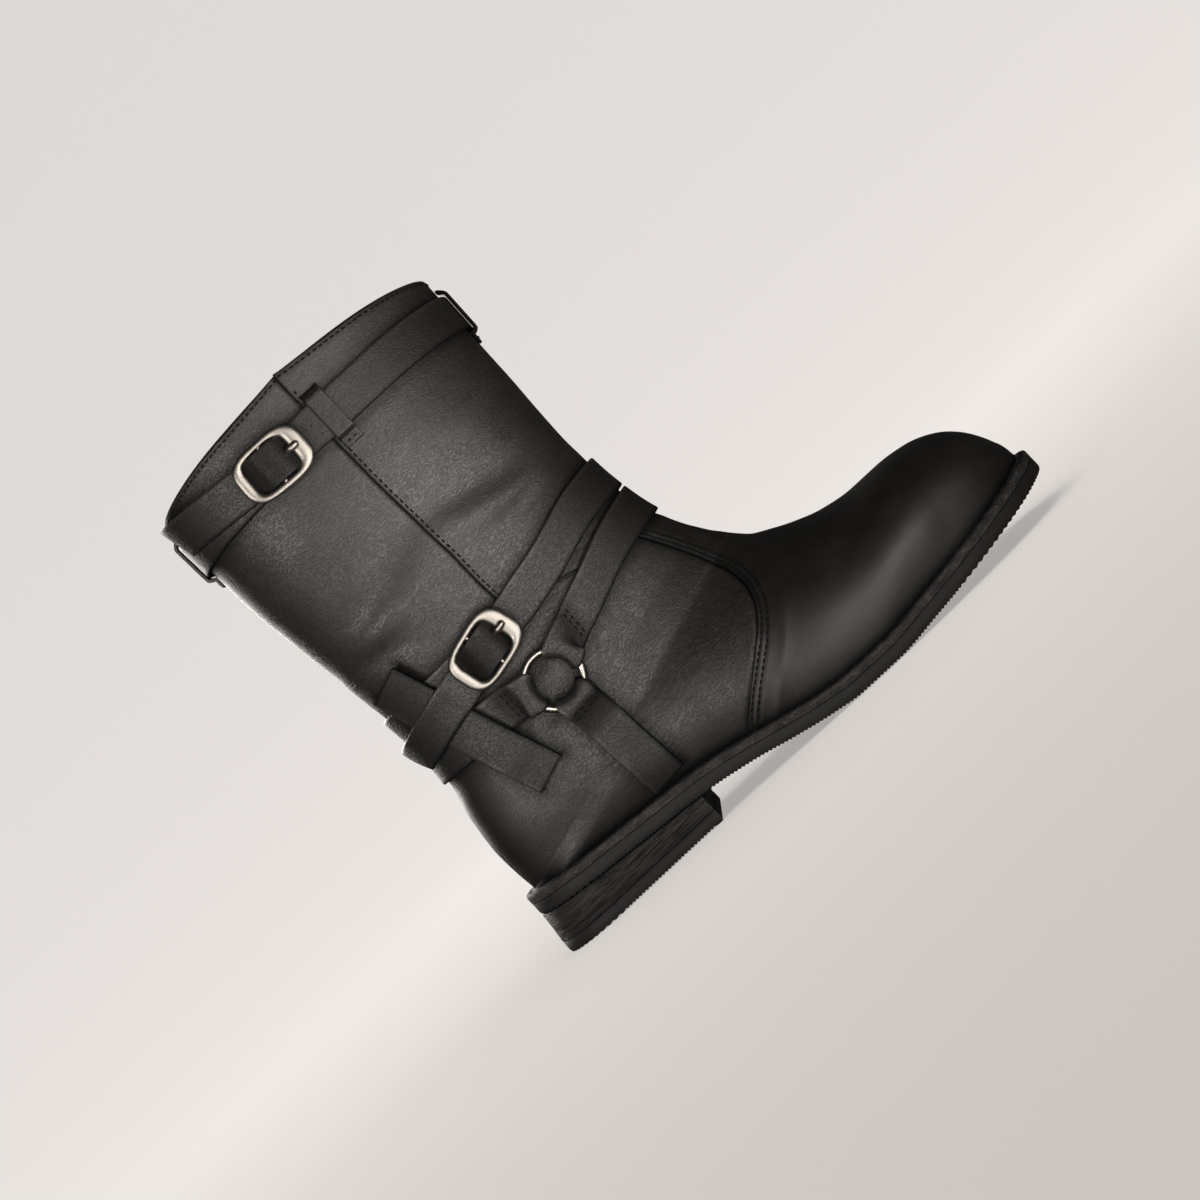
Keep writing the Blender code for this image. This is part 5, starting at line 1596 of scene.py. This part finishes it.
def build_buckles():
    """Both buckles: a rounded frame with its bar, and a prong."""
    outer = round_outline(BUCKLE_LONG, BUCKLE_HIGH, FRAME_POWER, flare=FRAME_FLARE)
    window = round_outline(BUCKLE_WINDOW_LONG, BUCKLE_WINDOW_HIGH, WINDOW_POWER, BUCKLE_WINDOW_SHIFT,
                           WINDOW_FLARE)
    for stem, strap in BUCKLED.items():
        place, turn = buckle_frame(*buckled_band(stem), strap.bar)
        middle, reach = (outer + window) / 2, (outer - window) / 2
        rings = []
        for angle in full_turn(BAR_TURNS):
            rise = math.sin(angle) * BUCKLE_THICK / 2
            rings.append(np.column_stack([middle + reach * math.cos(angle), np.full(FRAME_TURNS, rise)]))
        rings = np.concatenate(rings)
        faces = grid_faces(BAR_TURNS, FRAME_TURNS, wrap_rows=True, wrap_columns=True).tolist()
        half = BUCKLE_WINDOW_HIGH / 2 + BAR_IN_FRAME
        bar_line = np.array(((0, -half, 0), (0, 0, 0), (0, half, 0)))
        bar = tube(bar_line, np.full(3, BUCKLE_BAR_RADIUS), (1, 0, 0))
        points, faces = joined([(rings, faces), bar])
        add_piece(stem + "_buckle_metal", points @ turn + place, faces, [finish_of(buckle_nickel)], "nickel",
                  [stem + "_buckle_frame"])
        path = np.array([(step.ahead, 0.0, step.out) for step in PRONG_PATH])
        points, faces = tube(*smooth_path(path, [step.wide for step in PRONG_PATH]), (0, 1, 0))
        add_piece(stem + "_prong_metal", points @ turn + place, faces, [finish_of(buckle_nickel)], "nickel",
                  [stem + "_buckle_prong"])


def smooth_path(path, radii, count=PRONG_STEPS):
    """A path and its radii as smooth curves through their points."""
    places = np.linspace(0, 1, len(path))
    wanted = np.linspace(0, 1, count)
    curve = np.stack([smooth(places, path[:, axis])(wanted) for axis in range(3)], axis=-1)
    return curve, smooth(places, radii)(wanted)


def tube(path, radii, sideways, turns=TUBE_TURNS):
    """A closed round bar along a path that lies square to a direction."""
    ahead = unit(np.gradient(path, axis=0))
    sideways = np.broadcast_to(np.array(sideways, float), path.shape)
    up = np.cross(ahead, sideways)
    angle = full_turn(turns)[None, :, None]
    spokes = np.cos(angle) * sideways[:, None] + np.sin(angle) * up[:, None]
    rings = path[:, None] + radii[:, None, None] * spokes
    return rings.reshape(-1, 3), capped(len(path), turns)


def joined(parts):
    """Several meshes of points and faces as one."""
    points, faces, count = [], [], 0
    for part_points, part_faces in parts:
        points.append(part_points)
        faces += [[k + count for k in face] for face in part_faces]
        count += len(part_points)
    return np.concatenate(points), faces


def build_rings():
    """The harness rings of round wire."""
    for node, side in (("ring_outer", -1), ("ring_inner", 1)):
        centre, normal = ring_place(side)
        one = unit(np.cross(normal, UP))
        two = np.cross(normal, one)
        turn = full_turn(RING_TURNS)[:, None, None]
        wire = full_turn(WIRE_TURNS)[None, :, None]
        spoke = np.cos(turn) * one + np.sin(turn) * two
        reach = RING_RADIUS + WIRE_RADIUS * np.cos(wire)
        points = centre + spoke * reach + normal * WIRE_RADIUS * np.sin(wire)
        faces = grid_faces(RING_TURNS, WIRE_TURNS, wrap_rows=True, wrap_columns=True).tolist()
        add_piece(node + "_metal", points, faces, [finish_of(ring_nickel)], "nickel", [node])


# One stitch: a short bar with rounded ends, as places along it and how thick it is there
BarStep = namedtuple("BarStep", "along thick")
STITCH_STEPS = table(BarStep, ((-0.5, 0.3), (-0.38, 0.85), (0.0, 1.0), (0.38, 0.85), (0.5, 0.3)))
STITCH_TURNS = 6
CAST_FROM = 8.0
RIM_STITCH_ROW = 0.045
PINHOLE_TURNS = 14
# Pinholes of the collar strap: place along and height
PINHOLES = ((73.1, 231.5), (76.1, 231.2), (77.4, 226.1))
PINHOLE_RADIUS = 0.42
# A pinhole's dark plug, painted shade for the hole: heights over the strap, and its width there
PINHOLE_SHADE_PLUG = ((-0.3, 1.0), (0.02, 1.0), (0.05, 0.8))
WELT_STITCH_LONG = 3.4
WELT_STITCH_THICK = 1.0
WELT_STITCH_STEP = 3.1
WELT_STITCH_PITCH = 7.0
WELT_STITCH_DEEP = 0.2
# Two rows across each strap where it returns from a ring: the strap, its side, its way and the rows' lengths
LeafRows = namedtuple("LeafRows", "node side way first second")
LEAF_ROWS = table(LeafRows, (
    ("instep_strap", -1, 1, 22.6, 24.6), ("instep_strap", 1, -1, 22.6, 24.6),
    ("heel_strap", -1, 1, 18.4, 20.4), ("heel_strap", 1, -1, 18.4, 20.4),
    ("sole_strap_outer", -1, -1, 16.2, 18.4), ("sole_strap_inner", 1, -1, 16.2, 18.4),
))
LEAF_ROW_WIDE = 0.78
LEAF_ROW_POINTS = 12
KEEPER_ROW_WIDE = 0.7
KEEPER_ROW_POINTS = 6
KEEPER_ROW_UP = 2.2
KEEPER_STITCH_SHARE = 0.8
# Rows of the upper between which the side seam's stitches run, and how far over the welt the vamp's end
SEAM_STITCH_ROWS = (0.25, 5.2)
SEAM_STITCH_POINTS = 120
VAMP_STITCH_POINTS = 200
VAMP_STITCH_END = 0.05
RIM_STITCH_POINTS = 90


@lru_cache(maxsize=None)
def surface_of(name):
    """A built piece's surface as a tree, in millimetres."""
    mesh = bpy.data.objects[name].data
    places = np.empty(len(mesh.vertices) * 3)
    mesh.vertices.foreach_get("co", places)
    places = places.reshape(-1, 3) / METRES + ORIGIN
    return BVHTree.FromPolygons(places.tolist(), [list(face.vertices) for face in mesh.polygons])


def on_surface(name, points, outs):
    """Points moved along their outward directions onto a piece, and the piece's own directions there."""
    tree = surface_of(name)
    landed, normals = [], []
    for point, out in zip(points, outs):
        hit, normal, _, _ = tree.ray_cast(Vector(point + out * CAST_FROM), Vector(-out), 2 * CAST_FROM)
        if hit is None:
            hit, normal = Vector(point), Vector(out)
        landed.append(hit)
        normals.append(normal if normal.dot(Vector(out)) > 0 else -normal)
    return np.array(landed), np.array(normals)


def evenly(path, pitch):
    """Places at a pitch along a path of points, half a pitch in from both ends."""
    places = run(path)
    count = max(1, int(places[-1] / pitch))
    wanted = (np.arange(count) + 0.5) * places[-1] / count
    return np.stack([np.interp(wanted, places, path[:, axis]) for axis in range(3)], axis=-1)


def stitch_row(name, path, out, pitch, long, thick):
    """A row of stitches along a path, laid on a piece. Out leads away from the boot, for the whole row or
    point by point."""
    middles = evenly(path, pitch)
    outs = np.broadcast_to(out, path.shape) if np.ndim(out) == 1 else out
    wanted, given = np.linspace(0, 1, len(middles)), np.linspace(0, 1, len(outs))
    outs = unit(np.stack([np.interp(wanted, given, outs[:, axis]) for axis in range(3)], axis=-1))
    middles, normals = on_surface(name, middles, outs)
    ahead = np.gradient(middles, axis=0) if len(middles) > 1 else path[-1:] - path[:1]
    ahead = unit(ahead - normals * (ahead * normals).sum(axis=-1, keepdims=True))
    beside = np.cross(normals, ahead)
    turn = full_turn(STITCH_TURNS)[None, :, None]
    ring = beside[:, None] * np.cos(turn) + normals[:, None] * np.sin(turn)
    bars = []
    for step in STITCH_STEPS:
        bars.append(middles[:, None] + ahead[:, None] * step.along * long + ring * step.thick * thick / 2)
    points = np.stack(bars, axis=1)
    faces = capped(len(STITCH_STEPS), STITCH_TURNS)
    return [(bar.reshape(-1, 3), faces) for bar in points]


def seam_path(side, rows, ahead):
    """A path on the front leather, a distance ahead of its edge, and its outward directions."""
    line = edge_line(side, rows)[0]
    tree = skin_tree()
    along = unit(np.gradient(line, axis=0))
    path, outs = [], []
    for point, way in zip(line, along):
        normal = np.array(tree.find_nearest(Vector(point))[1])
        normal = normal * np.sign(normal[1] * side)
        front = np.cross(normal, way)
        front = front * np.sign(front[0])
        path.append(np.array(tree.find_nearest(Vector(point + front * ahead))[0]))
        outs.append(normal)
    return np.array(path), np.array(outs)


def rim_path(side):
    """A path just under the collar's rim, from the back to the front, and its outward directions."""
    angle = np.linspace(0, math.pi, RIM_STITCH_POINTS)
    row = np.full_like(angle, RIM_STITCH_ROW)
    points = skin_points(row, side, angle)
    points[:, 2] += collar_peak(points, row, angle > math.pi / 2)
    return points, skin_normals(row, side, angle)


def upper_stitches(pitch, long, thick):
    """Stitches of the side seams, the vamp's rear edge and the collar's rim."""
    parts = []
    for side in SIDES:
        seam_rows = np.linspace(*SEAM_STITCH_ROWS, SEAM_STITCH_POINTS)
        paths = [rim_path(side), seam_path(side, seam_rows, SEAM_STITCH)]
        foot = edge_line(side, np.linspace(VAMP_TOP_ROW, LAST_ROW, LINE_POINTS))[1][-1]
        rows = np.linspace(VAMP_TOP_ROW, foot - VAMP_STITCH_END, VAMP_STITCH_POINTS)
        paths += [seam_path(side, rows, place) for place in VAMP_STITCHES]
        for path, outs in paths:
            parts += stitch_row("upper_leather", path, outs, pitch, long, thick)
    return parts


def strap_stitches(pitch, long, thick):
    """Rows across the straps beside the rings, and across the collar keepers' feet."""
    parts = []
    bands = harness_bands()
    for end in LEAF_ROWS:
        band = bands[end.node]
        centre = band.length_at(ring_place(end.side)[0])
        for past in (end.first, end.second):
            share = np.linspace(-LEAF_ROW_WIDE, LEAF_ROW_WIDE, LEAF_ROW_POINTS)
            points, outs = band.at(np.full(LEAF_ROW_POINTS, centre + end.way * past), share)
            parts += stitch_row(end.node + "_leather", points, outs, pitch, long, thick)
    for node, band in keeper_places():
        share = np.linspace(-KEEPER_ROW_WIDE, KEEPER_ROW_WIDE, KEEPER_ROW_POINTS)
        points, outs = band.at(np.full(KEEPER_ROW_POINTS, KEEPER_ROW_UP), share)
        parts += stitch_row(node + "_leather", points, outs, pitch * KEEPER_STITCH_SHARE,
                            long * KEEPER_STITCH_SHARE, thick)
    return parts


def pinholes():
    """Punched holes in the collar strap behind its keeper, shown as dark plugs of painted shade."""
    parts = []
    turn = full_turn(PINHOLE_TURNS)
    out = np.array([(0.0, -1.0, 0.0)])
    for along, height in PINHOLES:
        start = skin_hit(along, OUTER_SIDE, height)[None]
        middle, normal = on_surface("collar_strap_leather", start, out)
        one = unit(np.cross(normal[0], UP))
        two = np.cross(normal[0], one)
        spokes = one * np.cos(turn)[:, None] + two * np.sin(turn)[:, None]
        rings = [middle[0] + normal[0] * rise + spokes * PINHOLE_RADIUS * wide
                 for rise, wide in PINHOLE_SHADE_PLUG]
        parts.append((np.concatenate(rings), capped(len(PINHOLE_SHADE_PLUG), PINHOLE_TURNS)))
    return parts


def welt_stitches():
    """Large stitches in the welt's channel, all round the foot."""
    loop, inwards, along = outline_loop(outline_stations())
    flat = loop + inwards * WELT_STITCH_STEP
    path = np.column_stack([flat, welt_top(along) - WELT_STITCH_DEEP])
    size = (WELT_STITCH_PITCH, WELT_STITCH_LONG, WELT_STITCH_THICK)
    return stitch_row("welt_strip", path, np.array(UP), *size)


def build_stitches():
    """Every stitch that shows, and the pinholes, joined by the leather that they sit in."""
    sizes = bpy.context.scene.boot_sizes
    size = (sizes.stitch_pitch / METRES, sizes.stitch_long / METRES, sizes.stitch_thick / METRES)
    add_piece("upper_stitches", *joined(upper_stitches(*size)), [finish_of(thread)], "black_leather")
    add_piece("strap_stitches", *joined(strap_stitches(*size)), [finish_of(thread)], "strap_leather")
    add_piece("strap_pinholes", *joined(pinholes()), [finish_of(thread)], "strap_leather")
    add_piece("welt_stitches", *joined(welt_stitches()), [finish_of(welt_thread)], "welt_rubber")


def length(name, description, default):
    """A size in metres that a user may change."""
    return FloatProperty(name=name, description=description, default=default, unit="LENGTH", precision=5)


def colour(name, description, default):
    """A colour that a user may change."""
    return FloatVectorProperty(name=name, description=description, default=default, subtype="COLOR", size=3,
                               min=0.0, max=1.0)


def power(name, description, default):
    """A light's power that a user may change."""
    return FloatProperty(name=name, description=description, default=default, unit="POWER")


class BootSizes(bpy.types.PropertyGroup):
    """Small sizes of the boot's dress."""

    stitch_long: length("Stitch length", "Length of one stitch that shows", 0.0020)
    stitch_pitch: length("Stitch pitch", "From one stitch to the next", 0.0029)
    stitch_thick: length("Stitch thickness", "Thickness of the thread", 0.0009)


class BootColours(bpy.types.PropertyGroup):
    """Colours of the boot and of its stage."""

    leather: colour("Upper leather", "Leather of shaft, quarter and vamp", (0.0080, 0.0072, 0.0064))
    strap: colour("Strap leather", "Leather of straps, keepers and tab", (0.0075, 0.007, 0.0066))
    thread: colour("Thread", "Thread of every seam", (0.005, 0.0048, 0.0045))
    welt_thread: colour("Welt thread", "Thread of the welt", (0.05, 0.048, 0.046))
    lining: colour("Lining", "Lining inside the boot", (0.035, 0.032, 0.030))
    insole: colour("Insole", "Insole leather", (0.10, 0.085, 0.07))
    welt: colour("Welt", "Welt's edge", (0.036, 0.0345, 0.0335))
    sole: colour("Sole", "Outsole and heel top piece", (0.011, 0.0106, 0.0102))
    heel: colour("Heel stack", "Stacked heel", (0.012, 0.0114, 0.0108))
    nickel: colour("Nickel", "Buckles and rings", (0.24, 0.224, 0.204))
    floor: colour("Floor", "Studio floor and wall", (0.36, 0.345, 0.335))


class BootStage(bpy.types.PropertyGroup):
    """The camera and the lights."""

    camera_distance: length("Camera distance", "From the target to the camera", 1.05)
    camera_field: length("Camera field", "Width of the picture at the target", 0.5076)
    camera_target: FloatVectorProperty(name="Camera target", description="Point in the middle of the picture",
                                       default=(-0.0279, 0.0022, 0.100), subtype="TRANSLATION", size=3)
    camera_roll: FloatProperty(name="Camera roll", description="How far the picture is turned",
                               default=math.radians(43.5), unit="ROTATION")
    camera_azimuth: FloatProperty(name="Camera azimuth", description="How far the camera stands to the toe",
                                  default=math.radians(3.0), unit="ROTATION")
    front_power: power("Front light", "Power of the front softbox", 17.5)
    low_power: power("Low light", "Power of the panel on the floor in front", 17.0)
    heel_power: power("Heel light", "Power of the softbox on the heel's side", 17.0)
    back_power: power("Back light", "Power of the softbox on the inner side", 22.0)
    floor_power: power("Floor light", "Power of the softbox that lights only the floor", 39.0)
    # The paper glows by itself: painted light, not light coming through it from behind
    paper_glow: FloatProperty(name="Paper glow", description="Light that comes through the stage paper",
                              default=1.75)
    world_strength: FloatProperty(name="Sky strength", description="Even light from all round", default=0.03)


class BOOT_OT_stage(bpy.types.Operator):
    """Build the floor, the lights and the camera"""

    bl_idname = "boot.stage"
    bl_label = "Stage"

    def execute(self, context):
        build_stage()
        return {"FINISHED"}


class BOOT_OT_sole(bpy.types.Operator):
    """Build the outsole, welt, heel and insole"""

    bl_idname = "boot.sole"
    bl_label = "Sole"

    def execute(self, context):
        build_sole()
        return {"FINISHED"}


class BOOT_OT_upper(bpy.types.Operator):
    """Build the upper with its folds and lining"""

    bl_idname = "boot.upper"
    bl_label = "Upper"

    def execute(self, context):
        build_upper()
        return {"FINISHED"}


class BOOT_OT_harness(bpy.types.Operator):
    """Build the straps that hang on the rings"""

    bl_idname = "boot.harness"
    bl_label = "Harness straps"

    def execute(self, context):
        build_harness()
        return {"FINISHED"}


class BOOT_OT_collar(bpy.types.Operator):
    """Build the collar strap, its keeper and its loops"""

    bl_idname = "boot.collar"
    bl_label = "Collar strap"

    def execute(self, context):
        build_collar()
        return {"FINISHED"}


class BOOT_OT_ankle(bpy.types.Operator):
    """Build the ankle strap and the keeper tab"""

    bl_idname = "boot.ankle"
    bl_label = "Ankle strap"

    def execute(self, context):
        build_ankle()
        return {"FINISHED"}


class BOOT_OT_buckles(bpy.types.Operator):
    """Build the buckles and their prongs"""

    bl_idname = "boot.buckles"
    bl_label = "Buckles"

    def execute(self, context):
        build_buckles()
        return {"FINISHED"}


class BOOT_OT_rings(bpy.types.Operator):
    """Build the harness rings"""

    bl_idname = "boot.rings"
    bl_label = "Rings"

    def execute(self, context):
        build_rings()
        return {"FINISHED"}


class BOOT_OT_stitches(bpy.types.Operator):
    """Build the stitches and the pinholes"""

    bl_idname = "boot.stitches"
    bl_label = "Stitches"

    def execute(self, context):
        build_stitches()
        return {"FINISHED"}


OPERATORS = (BOOT_OT_stage, BOOT_OT_sole, BOOT_OT_upper, BOOT_OT_harness, BOOT_OT_collar, BOOT_OT_ankle,
             BOOT_OT_buckles, BOOT_OT_rings, BOOT_OT_stitches)


class BOOT_PT_dress(bpy.types.Panel):
    """Lists the boot's pieces, sizes and colours"""

    bl_idname = "BOOT_PT_dress"
    bl_label = "Harness boot"
    bl_space_type = "VIEW_3D"
    bl_region_type = "UI"
    bl_category = "Boot"

    def draw(self, context):
        for operator in OPERATORS:
            self.layout.operator(operator.bl_idname)
        for group in (context.scene.boot_sizes, context.scene.boot_colours, context.scene.boot_stage):
            box = self.layout.box()
            for name in group.__annotations__:
                box.prop(group, name)


GROUPS = {"boot_sizes": BootSizes, "boot_colours": BootColours, "boot_stage": BootStage}
CLASSES = (*GROUPS.values(), *OPERATORS, BOOT_PT_dress)


def register():
    for made in CLASSES:
        bpy.utils.register_class(made)
    for name, group in GROUPS.items():
        setattr(bpy.types.Scene, name, PointerProperty(type=group))


def unregister():
    for name in GROUPS:
        delattr(bpy.types.Scene, name)
    for made in reversed(CLASSES):
        bpy.utils.unregister_class(made)


def main():
    register()
    for operator in OPERATORS:
        area, name = operator.bl_idname.split(".")
        getattr(getattr(bpy.ops, area), name)()
    boxes = {"cad": CAD_BOX, "visual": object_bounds()}
    plain = {name: [list(corner) for corner in box] for name, box in boxes.items()}


if __name__ == "__main__":
    main()
